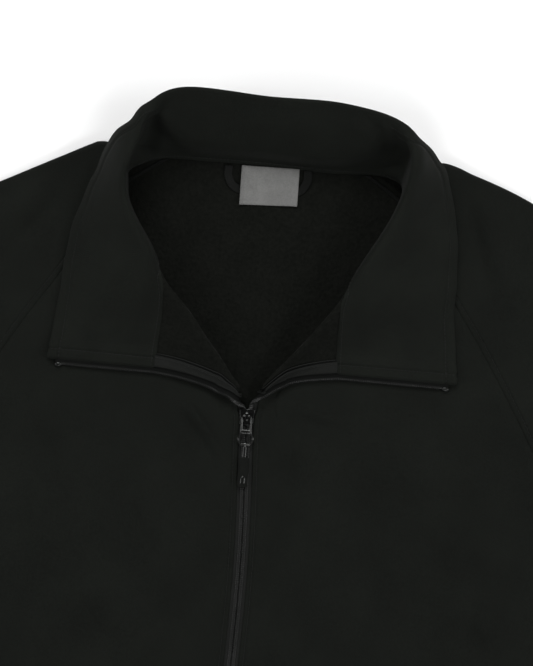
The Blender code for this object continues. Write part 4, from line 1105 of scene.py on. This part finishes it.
class Nodes:
    """A short way to add and join shader nodes."""

    def __init__(self, tree):
        """The tree is the one that the nodes go into."""
        self.tree = tree

    def add(self, kind, settings=None, **inputs):
        """A new node of a kind, with its settings and its inputs by name."""
        node = self.tree.nodes.new("ShaderNode" + kind)
        for name, value in (settings or {}).items():
            setattr(node, name, value)
        for name, value in inputs.items():
            self.feed(node, name.replace("_", " "), value)
        return node

    def feed(self, node, name, value):
        """Join a socket to an input, or set the input to a value. A name of digits is the input's number."""
        target = node.inputs[int(name)] if name.isdigit() else node.inputs[name]
        if isinstance(value, bpy.types.NodeSocket):
            self.tree.links.new(value, target)
        else:
            target.default_value = value

    def group(self, tree, **inputs):
        """The result of a node group, with its inputs by name."""
        return self.add("Group", {"node_tree": tree}, **inputs).outputs[0]

    def between(self, value, low, high):
        """The mottling's value, from the least to the most that it reaches, as a value from low to high."""
        node = self.add("MapRange", Value=value)
        ends = zip(("From Min", "From Max", "To Min", "To Max"), (*MOTTLE_REACH, low, high))
        for name, end in ends:
            node.inputs[name].default_value = end
        return node.outputs[0]

    def math(self, operation, first, second=0.0):
        """The result of a sum on two values."""
        node = self.add("Math", {"operation": operation})
        self.feed(node, "0", first)
        self.feed(node, "1", second)
        return node.outputs[0]

    def mix(self, factor, first, second):
        """A colour between two, by a factor."""
        node = self.add("Mix", {"data_type": "RGBA"})
        self.feed(node, "0", factor)
        self.feed(node, "6", first)
        self.feed(node, "7", second)
        return node.outputs[2]


def weave_group():
    """Crossing yarns: two waves at right angles over the cloth's own coordinates, as a height from 0 to 1."""
    group = bpy.data.node_groups.new("woven yarns", "ShaderNodeTree")
    socket(group, "Cloth place", "Vector")
    socket(group, "Yarns a metre", "Float", 1400.0)
    socket(group, "Unevenness", "Float", 0.3)
    socket(group, "Height", "Float", is_input=False)
    n = Nodes(group)
    given = group.nodes.new("NodeGroupInput")
    scaled = n.add("VectorMath", {"operation": "SCALE"}, Scale=given.outputs["Yarns a metre"])
    n.feed(scaled, "0", given.outputs["Cloth place"])
    parts = n.add("SeparateXYZ", Vector=scaled.outputs[0])
    warp = n.math("SINE", n.math("MULTIPLY", parts.outputs[0], 2 * math.pi))
    weft = n.math("SINE", n.math("MULTIPLY", parts.outputs[1], 2 * math.pi))
    crossed = n.math("MULTIPLY_ADD", n.math("MULTIPLY", warp, weft), 0.5)
    crossed.node.inputs[2].default_value = 0.5
    patch = n.add("TexNoise", {"noise_dimensions": "2D"}, Vector=given.outputs["Cloth place"],
                  Scale=YARN_PATCHES)
    uneven = n.math("MULTIPLY", patch.outputs[0], given.outputs["Unevenness"])
    out = group.nodes.new("NodeGroupOutput")
    n.feed(out, "Height", n.math("ADD", crossed, uneven))
    return group


def mottle_group():
    """Soft unevenness of a cloth: two sizes of noise in space, as one value round 0.5."""
    group = bpy.data.node_groups.new("soft mottling", "ShaderNodeTree")
    socket(group, "Place", "Vector")
    socket(group, "Patches a metre", "Float", 30.0)
    socket(group, "Grain a metre", "Float", 900.0)
    socket(group, "Grain share", "Float", 0.5)
    socket(group, "Value", "Float", is_input=False)
    n = Nodes(group)
    given = group.nodes.new("NodeGroupInput")
    slow = n.add("TexNoise", Vector=given.outputs["Place"], Scale=given.outputs["Patches a metre"], Detail=3.0)
    fine = n.add("TexNoise", Vector=given.outputs["Place"], Scale=given.outputs["Grain a metre"], Detail=2.0)
    mixed = n.add("Mix")
    n.feed(mixed, "0", given.outputs["Grain share"])
    n.feed(mixed, "2", slow.outputs[0])
    n.feed(mixed, "3", fine.outputs[0])
    out = group.nodes.new("NodeGroupOutput")
    n.feed(out, "Value", mixed.outputs[0])
    return group


WEAVE = weave_group()
MOTTLE = mottle_group()


def finish(name, slot, dark, light, rough, patches=30.0, grain=900.0, grain_share=0.5, yarns=0.0,
           relief=0.0, metallic=0.0, specular=0.5, sheen=0.0):
    """A material and its slot: two colours and two roughnesses mixed by mottling, with a woven relief."""
    made = bpy.data.materials.new(name)
    made.use_nodes = True
    n = Nodes(made.node_tree)
    shader = made.node_tree.nodes["Principled BSDF"]
    place = n.add("TexCoord")
    height = value = n.group(MOTTLE, Place=place.outputs["Object"], Patches_a_metre=patches,
                             Grain_a_metre=grain, Grain_share=grain_share)
    n.feed(shader, "Base Color", n.mix(n.between(value, 0.0, 1.0), (*dark, 1.0), (*light, 1.0)))
    n.feed(shader, "Roughness", n.between(value, *rough))
    for constant, level in (
        ("Metallic", metallic), ("Specular IOR Level", specular), ("Sheen Weight", sheen),
        ("Sheen Roughness", SHEEN_ROUGHNESS),
    ):
        shader.inputs[constant].default_value = level
    if yarns:
        mixed = n.add("Mix")
        n.feed(mixed, "2", value)
        n.feed(mixed, "3", n.group(WEAVE, Cloth_place=place.outputs["UV"], Yarns_a_metre=yarns))
        height = mixed.outputs[0]
    bump = n.add("Bump", Height=height, Distance=relief * MM, Strength=1.0)
    n.feed(shader, "Normal", bump.outputs[0])
    return made, slot


SOFTSHELL = finish(
    "softshell cloth", "cloth", (0.0032, 0.0038, 0.0030), (0.0067, 0.0077, 0.0063), (0.62, 0.8),
    patches=26, grain=700, grain_share=0.55, yarns=1100, relief=0.25, specular=0.05, sheen=0.02,
)
# The collar's cloth: the shell cloth painted lighter, painted light that makes up for the shade the collar band
# lies in.
COLLAR_CLOTH_WITH_PAINTED_LIGHT = finish(
    "inner collar cloth with painted light", "cloth", (0.0040, 0.0047, 0.0038), (0.0074, 0.0085, 0.0069), (0.62, 0.8),
    patches=34, grain=760, grain_share=0.6, yarns=1100, relief=0.22, specular=0.05, sheen=0.02,
)
FLEECE = finish(
    "brushed fleece", "fleece", (0.0034, 0.0038, 0.0031), (0.0061, 0.0065, 0.0055), (0.85, 0.97),
    patches=60, grain=420, grain_share=0.7, relief=0.9, specular=0.03, sheen=0.02,
)
# The tape's outer face: its own lighter tone, raised further as painted light where the tape lies in shade
# beneath the cloth's edge.
TAPE_WEAVE_TONE_AND_PAINTED_LIGHT = finish(
    "zip tape", "tape", (0.0094, 0.0101, 0.0092), (0.0128, 0.0135, 0.0126), (0.6, 0.8),
    patches=80, grain=900, yarns=1600, relief=0.3, specular=0.1,
)
# The tape's inner face: a darker copy of the tape's finish, painted shade where it shows along the open zip.
TAPE_BACK_PAINTED_SHADE = finish(
    "zip tape back painted shade", "tape", (0.0030, 0.0033, 0.0030), (0.0046, 0.0050, 0.0046), (0.7, 0.85),
    patches=80, grain=900, yarns=1600, relief=0.3, specular=0.05,
)
STRAP = finish(
    "black strap", "tape", (0.0032, 0.0036, 0.0031), (0.0048, 0.0053, 0.0047), (0.6, 0.75),
    patches=80, grain=900, yarns=1600, relief=0.3, specular=0.1,
)
STOP_METAL = finish(
    "pressed stop", "black_metal", (0.018, 0.019, 0.018), (0.034, 0.035, 0.034), (0.25, 0.4),
    patches=150, grain=900, relief=0.02, metallic=1.0,
)
FACING_TAPE = finish(
    "facing tape", "cloth", (0.0046, 0.0052, 0.0045), (0.0070, 0.0076, 0.0068), (0.6, 0.75),
    patches=60, grain=900, yarns=1500, relief=0.25, specular=0.1,
)
NYLON = finish(
    "nylon coil", "tape", (0.0044, 0.0048, 0.0044), (0.0071, 0.0076, 0.0070), (0.3, 0.45),
    patches=90, grain=500, relief=0.05, specular=0.35,
)
THREAD_FINISH = finish(
    "sewing thread", "tape", (0.0030, 0.0034, 0.0029), (0.0052, 0.0057, 0.0050), (0.5, 0.65),
    patches=120, grain=1500, relief=0.05, specular=0.2,
)
METAL = finish(
    "black nickel", "black_metal", (0.012, 0.0125, 0.012), (0.034, 0.035, 0.034), (0.08, 0.17),
    patches=150, grain=900, relief=0.02, metallic=1.0,
)
WIRE = finish(
    "polished wire", "black_metal", (0.030, 0.031, 0.030), (0.085, 0.086, 0.084), (0.07, 0.16),
    patches=150, grain=900, relief=0.02, metallic=1.0,
)
RUBBER = finish(
    "moulded rubber", "rubber", (0.0031, 0.0035, 0.0030), (0.0048, 0.0053, 0.0046), (0.5, 0.65),
    patches=150, grain=1200, relief=0.06, specular=0.06,
)
RIBBON = finish(
    "label ribbon", "grey_weave", (0.100, 0.100, 0.097), (0.140, 0.140, 0.136), (0.5, 0.65),
    patches=120, grain=900, yarns=2200, relief=0.12, specular=0.25,
)


# Panels

collar = collar_grid()
collar_facing = normals_of(collar, 1)
fronts = {side: front_grid(side) for side in (1, -1)}
front_facing = {side: normals_of(fronts[side], side) for side in (1, -1)}
sleeves = {side: sleeve_grid(side) for side in (1, -1)}
sleeve_facing = {side: normals_of(sleeves[side], side) for side in (1, -1)}
back = back_grid()
back_facing = normals_of(back, 1)
SIDE_NAMES = {1: "left", -1: "right"}


def build_collar():
    """The collar, both layers as one turned wall, pressed thin along its topstitching.

    Towards the zip the wall grows thicker, to take the tape in between its layers.
    """
    grid = trimmed(collar, first_column=True)
    first, last, _, free = from_edges(grid)
    rows = collar_rows()
    at_front = smooth_step((np.abs(rows - CENTRE_ROW) - 1.9) / 0.8)
    lines = pressed(free, COLLAR_STITCH) * at_front[:, None]
    lines += pressed(first, COLLAR_ZIP_STITCH) + pressed(last, COLLAR_ZIP_STITCH)
    puff = 0.25 * (pressed(free, 3.2, 2.2) + pressed(first, 3.0, 2.0) + pressed(last, 3.0, 2.0))
    over_tape = smooth_step((TAPE_UNDER + 6 - np.minimum(first, last)) / 9)
    full = SHELL + SEAM + THIN + (TAPE_GAP - SHELL / 2 + THIN) * over_tape
    thick = full * (1 - 0.42 * np.clip(lines, 0, 1)) + puff
    lift = (full - SHELL) / 2 - 0.1 * lines
    # The collar takes the lighter cloth, which has painted light in its colour.
    piece = wall("collar", grid, collar_facing, COLLAR_CLOTH_WITH_PAINTED_LIGHT, thick, lift,
                 replaces=("collar_outer", "collar_inner"))
    top = grid + collar_facing * (lift + thick / 2)[..., None]
    under = grid - collar_facing * (thick / 2 - lift)[..., None]
    from_left, from_right = np.argmin(at_front), np.argmin(at_front[::-1])
    stitched = [
        inset(top, collar_facing, COLLAR_STITCH, 0.0, from_end=True, first=start, last=end)
        for start, end in ((0, from_left), (len(rows) - from_right, len(rows)))
    ]
    stitched += [
        inset(top.swapaxes(0, 1), collar_facing.swapaxes(0, 1), COLLAR_ZIP_STITCH, 0.0, from_end=far_end)
        for far_end in (False, True)
    ]
    stitched.append(inset(under, -collar_facing, COLLAR_STITCH, THREAD_RISE, from_end=True))
    stitched.append(inset(top, collar_facing, NECK_STITCH, THREAD_RISE))
    return piece, sewn("collar_stitching", stitched)


def build_front(side):
    """A front, pressed thin along its edge stitching and drawn down into its seams."""
    word = SIDE_NAMES[side]
    grid = trimmed(fronts[side], first_row=True, last_column=True)
    facing = front_facing[side]
    _, hem, edge, seam = from_edges(grid)
    lines = pressed(edge, FRONT_STITCH) + pressed(hem, HEM_STITCH)
    thick = pressed_thin(lines) + HEM_TURN * smooth_step((HEM_STITCH - hem) / 2)
    fold = LAPEL_CELLS + ROLL_CELLS
    back_over = side * np.maximum(edge[:, fold : fold + 1] - edge, 0)
    plan = grid[..., :2].copy()
    plan[:, :fold, 0] = grid[:, fold : fold + 1, 0] - back_over[:, :fold]
    plan[:, :fold, 1] = grid[:, fold : fold + 1, 1]
    piece = wall("front_" + word, grid, facing, SOFTSHELL, thick, drawn_down(seam, lines), plan,
                 lining=FLEECE, replaces="front_panel_" + word)
    stitched = edge_and_hem(grid, facing, thick, FRONT_STITCH, LAPEL_ROWS + 1)
    return piece, sewn("front_stitching_" + word, stitched)


def build_sleeve(side):
    """A sleeve, pressed along the raglan topstitching and the cuff's hem."""
    word = SIDE_NAMES[side]
    grid = trimmed(sleeves[side], first_row=True, half=SEAM)
    grid = trimmed(grid, first_column=True, last_column=True)
    facing = sleeve_facing[side]
    _, cuff, front, rear = from_edges(grid)
    lines = pressed(front, RAGLAN_STITCH) + pressed(rear, RAGLAN_STITCH) + pressed(cuff, HEM_STITCH)
    thick = pressed_thin(lines)
    piece = wall("sleeve_panel_" + word, grid, facing, SOFTSHELL, thick, drawn_down(front, lines),
                 grid[..., :2], lining=FLEECE, replaces="sleeve_" + word)
    return piece, sewn("sleeve_stitching_" + word, edge_and_hem(grid, facing, thick, RAGLAN_STITCH))


def build_back():
    """The back, its fleece side up where the neck is open, with a tape over each raglan seam inside."""
    grid = trimmed(back, first_row=True, first_column=True, last_column=True)
    inner = grid.copy()
    x, y = grid[..., 0], grid[..., 1]
    open_part = smooth_step((y + 40) / 60) * smooth_step((165 - y) / 30) * smooth_step((95 - np.abs(x)) / 30)
    inner[..., 2] += open_part * (0.5 + creases(x, y, BACK_CREASES) + 0.8 * unevenness(x, y))
    piece = wall("back", inner, back_facing, SOFTSHELL, SHELL, 0.0, inner[..., :2], lining=FLEECE,
                 replaces="back_panel")
    tapes = []
    for side, word in SIDE_NAMES.items():
        lines = inner if side > 0 else inner[:, ::-1]
        facing = back_facing if side > 0 else back_facing[:, ::-1]
        count = LAPEL_ROWS // 2
        strips = [inset(lines, facing, place, 0.0, first=1, last=count) for place in (0.6, 2.6, 4.6)]
        points = np.stack([strip[0] for strip in strips], axis=1)
        turned = np.stack([strip[1] for strip in strips], axis=1)
        tapes.append(wall("seam_tape_" + word, points, turned, STRAP, 0.5, SHELL / 2 + 0.3))
    return piece, tapes


# Zip

def zip_lines(side):
    """Rows of points, normals and the tape's room, in from the zip's edge: up the front, then the collar."""
    front, facing = fronts[side], front_facing[side]
    across = collar if side > 0 else collar[::-1]
    turned = collar_facing if side > 0 else collar_facing[::-1]
    lines = []
    for i in range(len(front) - 1, -1, -1):
        wide = lengths(front[i, : LAPEL_CELLS + 1])[-1]
        room = min(0.6 * wide, TAPE_UNDER) if i <= LAPEL_ROWS else TAPE_UNDER
        lines.append((front[i], facing[i], room))
    lines += [(across[:, i], turned[:, i], TAPE_UNDER) for i in range(1, collar.shape[1])]
    return lines


def strip(lines, places):
    """Points and normals at these distances in from the zip's edge, on each line."""
    points, facing = [], []
    for line, normal, room in lines:
        far = lengths(line)
        inner = np.clip(places, 0, None) * room / TAPE_UNDER
        away = unit((line[0] - line[3]) * (1, 1, 0))
        clear = TURN_CLEAR if line[0][2] > UPPER and room < TAPE_UNDER else 0.0
        over_edge = np.clip(-np.asarray(places) + clear, 0, None)[:, None]
        points.append(read_at(far, line, inner) + over_edge * away)
        facing.append(unit(read_at(far, normal, inner)))
    return np.stack(points), np.stack(facing)


def cut_ends(points, facing, start, end):
    """The strip without these lengths at its two ends."""
    far = lengths(points[:, 0])
    kept = far[(far > start + 0.3) & (far < far[-1] - end - 0.3)]
    at = np.concatenate([[start], kept, [far[-1] - end]])
    i = np.clip(np.searchsorted(far, at, side="right") - 1, 0, len(far) - 2)
    t = ((at - far[i]) / np.maximum(far[i + 1] - far[i], 1e-6))[:, None, None]
    return points[i] * (1 - t) + points[i + 1] * t, unit(facing[i] * (1 - t) + facing[i + 1] * t)


def softened(rows, times=6):
    """Rows with each one moved towards the mean of its neighbours, a few times over."""
    rows = rows.copy()
    for _ in range(times):
        rows[1:-1] += 0.5 * ((rows[:-2] + rows[2:]) / 2 - rows[1:-1])
    return rows


def teeth_shapes(points, facing, shift):
    """The coil's teeth: across the tape's edge a bar for each, fuller towards its head."""
    rows = softened(points)
    far = lengths(rows[:, 0])
    count = int(far[-1] / TOOTH) - 1
    at = (np.arange(count) + shift + 0.25) * TOOTH
    root = read_at(far, rows[:, -1], at)
    up = unit(read_at(far, facing[:, 0], at))
    out = unit(read_at(far, rows[:, 0], at) - root)
    ahead = unit(np.cross(out, up))
    stations, wide, high = np.array(TOOTH_BAR).T
    rings = bars(root, out, ahead, up, stations * (COIL_WIDE + 0.45), wide, high, 0 * high,
                 circle(6, math.pi / 6))
    return tubes(rings, *rings.shape[1:3], count)


def build_stop(side, lines, middle):
    """A top stop: a rounded bead clamped over the coil's end."""
    word = SIDE_NAMES[side]
    ends, turned = strip(lines[-8:], COIL_PLACES)
    back_way = unit(ends[0].mean(0) - ends[-1].mean(0))
    out = unit(ends[-1][0] - ends[-1][1])
    centre = ends[-1].mean(0) + out * 0.9 + turned[-1].mean(0) * (middle - 0.15)
    centre = centre + back_way * (TAPE_END + STOP_LENGTH / 2)
    up = unit(np.cross(out, back_way))
    profile = circle(24) * (1.7, 1.25)
    steps = np.array([-1.0, -0.9, -0.6, -0.2, 0.2, 0.6, 0.9, 1.0])
    sizes = np.sqrt(np.clip(1.02 - np.abs(steps) ** 3, 0.05, 1))
    rings = (
        centre + back_way * (steps * 2.5)[:, None, None]
        + (profile[:, :1] * out + profile[:, 1:] * up) * sizes[:, None, None]
    )
    add_piece("stop_" + word, *tubes(rings, *rings.shape[:2]), STOP_METAL, replaces="zip_stop_" + word)


def build_zip(side):
    """One side's tape, coil, stop and facing."""
    word = SIDE_NAMES[side]
    lines = zip_lines(side)
    first = BOX_LENGTH + SEAM
    points, facing = strip(lines, (COIL_PLACES[1] - 0.7, COIL_PLACES[1] + 1.2, 0.0, 3.0, 6.0, TAPE_UNDER))
    points, facing = cut_ends(softened(points), unit(softened(facing)), first, TAPE_END)
    sunk = np.array([0.55, 0.45, 0.1, 0.0, 0.0, 0.0])
    # The tape's outer face carries painted light as well as its own tone. Its inner face takes the darker
    # finish, painted shade along the open zip.
    tape = wall("tape_" + word, points, facing, TAPE_WEAVE_TONE_AND_PAINTED_LIGHT, THIN * 0.6, TAPE_GAP + THIN * 0.4 - sunk,
                lining=TAPE_BACK_PAINTED_SHADE, replaces="zip_tape_" + word)

    points, facing = strip(lines, COIL_PLACES)
    points, facing = cut_ends(softened(points), unit(softened(facing)), first, TAPE_END + STOP_LENGTH + SEAM)
    middle = TAPE_GAP - SEAM - COIL_RISE / 2
    raised = points + facing * middle
    teeth = teeth_shapes(raised, facing, 0.5 if side > 0 else 0.0)
    core_path = raised[:, -1] * 0.55 + raised[:, 0] * 0.45
    up = facing[:, 0]
    core_side = unit(np.cross(np.gradient(core_path, axis=0), up))
    core = carried(rounded(2.3, 1.0, 0.4, 2), core_path, core_side, up)
    add_piece("coil_" + word, *joined([teeth, core]), NYLON, replaces="zip_teeth_" + word)
    build_stop(side, lines, middle)

    neck = len(fronts[side])
    rows = LAPEL_ROWS * 8 // COARSE_ROWS
    points, facing = strip(lines[neck - rows : neck], (0.3, 1.5, 3.0, 4.5, 6.0, FACING))
    points, facing = cut_ends(points, facing, 0, SEAM)
    height = TAPE_GAP + THIN + SEAM + THIN / 2
    wall("facing_strip_" + word, points, facing, FACING_TAPE, THIN, height, replaces="facing_" + word)
    sewn("facing_stitching_" + word, [inset(points, facing, FACING - 1.6, height + THIN / 2 + 0.02)])
    return tape


def build_slider():
    """The slider: a waisted plate with turned-down cheeks, a lower plate, a post, and a bridge."""
    outline = both_sides((
        (0.0, SLIDER_TOP - 0.9), (1.6, SLIDER_TOP - 0.2), (3.6, SLIDER_TOP), (4.9, SLIDER_TOP - 0.6),
        (5.3, SLIDER_TOP - 1.8), (5.2, -4.6), (4.7, -6.6), (4.3, -8.6), (4.4, -10.6), (4.5, SLIDER_END + 0.7),
        (4.0, SLIDER_END), (0.0, SLIDER_END),
    ))
    shapes = [plate(outline, 6.0, 6.8, 0.35), plate(outline * (0.9, 0.96), 1.75, 2.4, 0.2)]
    for x in (-1, 1):
        cheek = np.array([(4.9, -6.4), (4.9, SLIDER_END + 0.4), (3.9, SLIDER_END + 0.4), (3.9, -6.4)]) * (x, 1)
        shapes.append(plate(cheek, 4.2, 6.4, 0.15, 2))
    shapes.append(plate(np.array([(0.8, -1.4), (-0.8, -1.4), (-0.8, -3.4), (0.8, -3.4)]), 2.0, 6.4, 0.2, 2))
    ends = np.array([
        (0, -3.4, 6.4), (0, -3.4, 8.0), (0, -3.9, 9.0), (0, -5.2, 9.5), (0, -7.2, 9.6), (0, -8.9, 9.2),
        (0, -9.7, 8.2), (0, -9.8, 6.4),
    ], float)
    arch = through(ends, np.linspace(0, len(ends) - 1, 30))
    sideways = np.tile((1.0, 0.0, 0.0), (len(arch), 1))
    shapes.append(carried(rounded(2.2, 0.75, 0.25), arch, sideways, framed(arch, (1.0, 0, 0))[0]))
    add_piece("slider", *joined(shapes), METAL, replaces="zip_slider")

    x = zip_line(HEM_Y)
    corner = rounded(8.4, BOX_LENGTH - 0.5, 0.8)
    box_plate = plate(corner + (x, HEM_Y + (BOX_LENGTH + 0.5) / 2), 2.6, 5.6, 0.5)
    add_piece("bottom_box", *box_plate, METAL, replaces="zip_box")


def build_pull():
    """The pull's keyhole wire with its cross piece, and the tab with its ring, crimp and loop."""
    half = through(PULL_OUTLINE, np.linspace(0, len(PULL_OUTLINE) - 1, 40))
    slope = (PULL_PIVOT[2] - TAB_PIVOT[2]) / (PULL_PIVOT[1] - TAB_PIVOT[1])
    height = PULL_PIVOT[2] + (half[:, 1] - PULL_PIVOT[1]) * slope
    right = np.column_stack([half, height])
    top = PULL_PIVOT[1] + 0.35
    bow = np.array([(x, top, PULL_PIVOT[2]) for x in np.linspace(-2.2, 2.2, 9)])
    outline = np.concatenate([right, (right * (-1, 1, 1))[::-1], bow])
    side, up = framed(outline, closed=True)
    shapes = [carried(rounded(1.3, 1.15, 0.42), outline, side, up, closed=True)]
    z = PULL_PIVOT[2] + (CROSS_PIECE_Y - PULL_PIVOT[1]) * slope
    bar = np.array([(x, CROSS_PIECE_Y, z) for x in np.linspace(-3.2, 3.2, 12)])
    bar_side, bar_up = framed(bar)
    shapes.append(carried(rounded(2.6, 1.0, 0.4), bar, bar_side, bar_up))
    add_piece("pull_frame", *joined(shapes), WIRE, body="puller", replaces="zip_puller")

    z = TAB_PIVOT[2]
    ring = np.pad(circle(28), ((0, 0), (1, 0))) * 1.5 + TAB_PIVOT
    ring_up = unit(ring - TAB_PIVOT)
    ring_side = np.tile((1.0, 0, 0), (len(ring), 1))
    shapes = [carried(rounded(2.0, 0.8, 0.3), ring, ring_side, ring_up, closed=True)]
    neck = np.array([(0, -27.9, z), (0, -30.0, z), (0, -32.0, z), (0, -35.6, z - 0.1)])
    neck_side, neck_up = framed(neck)
    shapes.append(carried(rounded(2.4, 1.2, 0.45), neck, neck_side, neck_up))
    add_piece("tab_ring", *joined(shapes), WIRE, body="tab")

    outline = rounded(7.4, BLADE_TOP - TAB_END, 1.3, 5)
    blade = plate(outline + (0, (TAB_END + BLADE_TOP) / 2), z - 0.9, z + 0.7, 0.45)
    rim_path = rounded(6.0, BLADE_TOP - TAB_END - 2.4, 1.0, 5) + (0, (TAB_END + BLADE_TOP - 0.4) / 2)
    rim_path = np.column_stack([rim_path, np.full(len(rim_path), z + 0.66)])
    rim_side, rim_up = framed(rim_path, closed=True)
    rim = carried(rounded(0.5, 0.35, 0.14), rim_path, rim_side, rim_up, closed=True)
    add_piece("tab_blade", *joined([blade, rim]), RUBBER, body="tab", replaces="zip_tab")
    bend = np.linspace(0, math.pi, 15)
    arch = np.concatenate([
        [(1.3, TAB_LOOP_Y[1], z + 0.8)],
        np.column_stack([np.cos(bend) * 1.3, TAB_LOOP_Y[0] + np.sin(bend) * 1.4, np.full(15, z + 0.85)]),
        [(-1.3, TAB_LOOP_Y[1], z + 0.8)],
    ])
    arch_side, arch_up = framed(arch)
    add_piece("tab_loop", *carried(rounded(0.75, 0.7, 0.3), arch, arch_side, arch_up), WIRE, body="tab")


def build_neck_trim():
    """The blank label with its turned side edges, and the hanger loop behind it."""
    x = np.linspace(*LABEL_X, 60)
    y = np.linspace(LABEL_Y[1], LABEL_Y[0], 24)
    xs, ys = np.meshgrid(x, y)
    down = np.interp(ys, (LABEL_Y[0], LABEL_Y[0] + 12), (-0.7, 0.0))
    far_down = (LABEL_Y[1] - ys) / (LABEL_Y[1] - LABEL_Y[0])
    ys = ys + 1.3 * far_down * (xs - LABEL_X[0]) / (LABEL_X[1] - LABEL_X[0])
    roll = 0.9 * np.exp(-(((xs - LABEL_X[0] - 0.7) / 0.8) ** 2))
    wavy = 0.25 * np.sin(xs / 7.0 + 0.8) * np.cos(ys / 9.0)
    grid = np.stack([xs, ys, LABEL_Z + down + wavy + roll], axis=-1)
    facing = normals_of(grid, -1)
    edge = np.minimum(xs - LABEL_X[0], LABEL_X[1] - xs)
    thick = THIN * (0.55 + 0.35 * smooth_step((2.6 - edge) / 0.8))
    label = wall("label", grid, facing, RIBBON, thick, replaces="neck_label")
    route = through(LOOP_ROUTE, np.linspace(0, len(LOOP_ROUTE) - 1, 70))
    side, up = framed(route)
    places = np.linspace(-LOOP_WIDE / 2, LOOP_WIDE / 2, 8)
    grid = route[:, None] + side[:, None] * places[None, :, None]
    turned = np.repeat(up[:, None], len(places), axis=1)
    wall("neck_loop", grid, turned, STRAP, THIN * 0.9, replaces="hanger_loop")
    return label


def build_cloth():
    """Every sewn panel, with its stitching, and each side's zip."""
    collar_piece, thread = build_collar()
    back_piece, seam_tapes = build_back()
    for side, word in SIDE_NAMES.items():
        front, thread = build_front(side)
        sleeve, thread = build_sleeve(side)
        tape = build_zip(side)


build_cloth()
build_slider()
build_pull()
build_neck_trim()


# Floor, light and camera

FLOOR_HALF = 6.0


def build_floor():
    """A plain white floor under the jacket."""
    corners = [(x * FLOOR_HALF, y * FLOOR_HALF, 0) for x, y in ((-1, -1), (1, -1), (1, 1), (-1, 1))]
    mesh = bpy.data.meshes.new("floor")
    mesh.from_pydata(corners, [], [(0, 1, 2, 3)])
    floor = bpy.data.objects.new("floor", mesh)
    made = bpy.data.materials.new("white floor")
    made.use_nodes = True
    shader = made.node_tree.nodes["Principled BSDF"]
    shader.inputs["Base Color"].default_value = (0.88, 0.88, 0.88, 1.0)
    shader.inputs["Roughness"].default_value = 0.9
    shader.inputs["Specular IOR Level"].default_value = 0.1
    mesh.materials.append(made)
    bpy.context.scene.collection.objects.link(floor)


def softbox(name, place, size, power, aim):
    """A rectangular lamp at a place, turned to face the point that it aims at."""
    lamp = bpy.data.lights.new(name, "AREA")
    lamp.shape = "RECTANGLE"
    lamp.size, lamp.size_y = size
    lamp.energy = power
    made = bpy.data.objects.new(name, lamp)
    made.location = place
    direction = np.array(aim) - np.array(place)
    yaw = math.atan2(direction[1], direction[0])
    tilt = math.acos(-direction[2] / np.linalg.norm(direction))
    made.rotation_euler = (tilt, 0.0, yaw - math.pi / 2)
    bpy.context.scene.collection.objects.link(made)


build_floor()
softbox("softbox behind", (-0.3, 1.9, 1.7), (1.3, 0.9), 40.0, (0.0, 0.2, 0.0))
softbox("softbox right", (2.0, 0.3, 1.5), (0.9, 1.3), 21.0, (0.0, 0.1, 0.0))
softbox("softbox left", (-2.0, -0.1, 1.5), (0.9, 1.3), 15.0, (0.0, 0.1, 0.0))
softbox("softbox front", (0.4, -2.0, 1.6), (1.3, 0.8), 23.0, (0.0, 0.1, 0.0))


def build_world():
    """A white studio round the table: its strength falls from the horizon to straight overhead."""
    world = bpy.data.worlds.new("studio")
    world.use_nodes = True
    n = Nodes(world.node_tree)
    place = n.add("TexCoord")
    parts = n.add("SeparateXYZ", Vector=place.outputs["Generated"])
    strength = n.add("MapRange", Value=parts.outputs[2])
    for name, value in (("From Min", 0.3), ("From Max", 1.0), ("To Min", 0.66), ("To Max", 0.20)):
        strength.inputs[name].default_value = value
    background = world.node_tree.nodes["Background"]
    background.inputs["Color"].default_value = (1.0, 1.0, 1.0, 1.0)
    n.feed(background, "Strength", strength.outputs[0])
    return world


world = build_world()
bpy.context.scene.world = world
bpy.context.scene.view_settings.view_transform = "Standard"
bpy.context.scene.view_settings.look = "None"

camera_data = bpy.data.cameras.new("camera")
camera_data.lens = 100.0
camera_data.sensor_width = 36.0
camera_data.clip_start = 0.05
camera_data.clip_end = 50.0
camera = bpy.data.objects.new("camera", camera_data)
camera.location = (0.0096, 0.2426, 1.301)
camera.rotation_euler = (0.0, 0.0, math.radians(4.0))
bpy.context.scene.collection.objects.link(camera)
bpy.context.scene.camera = camera
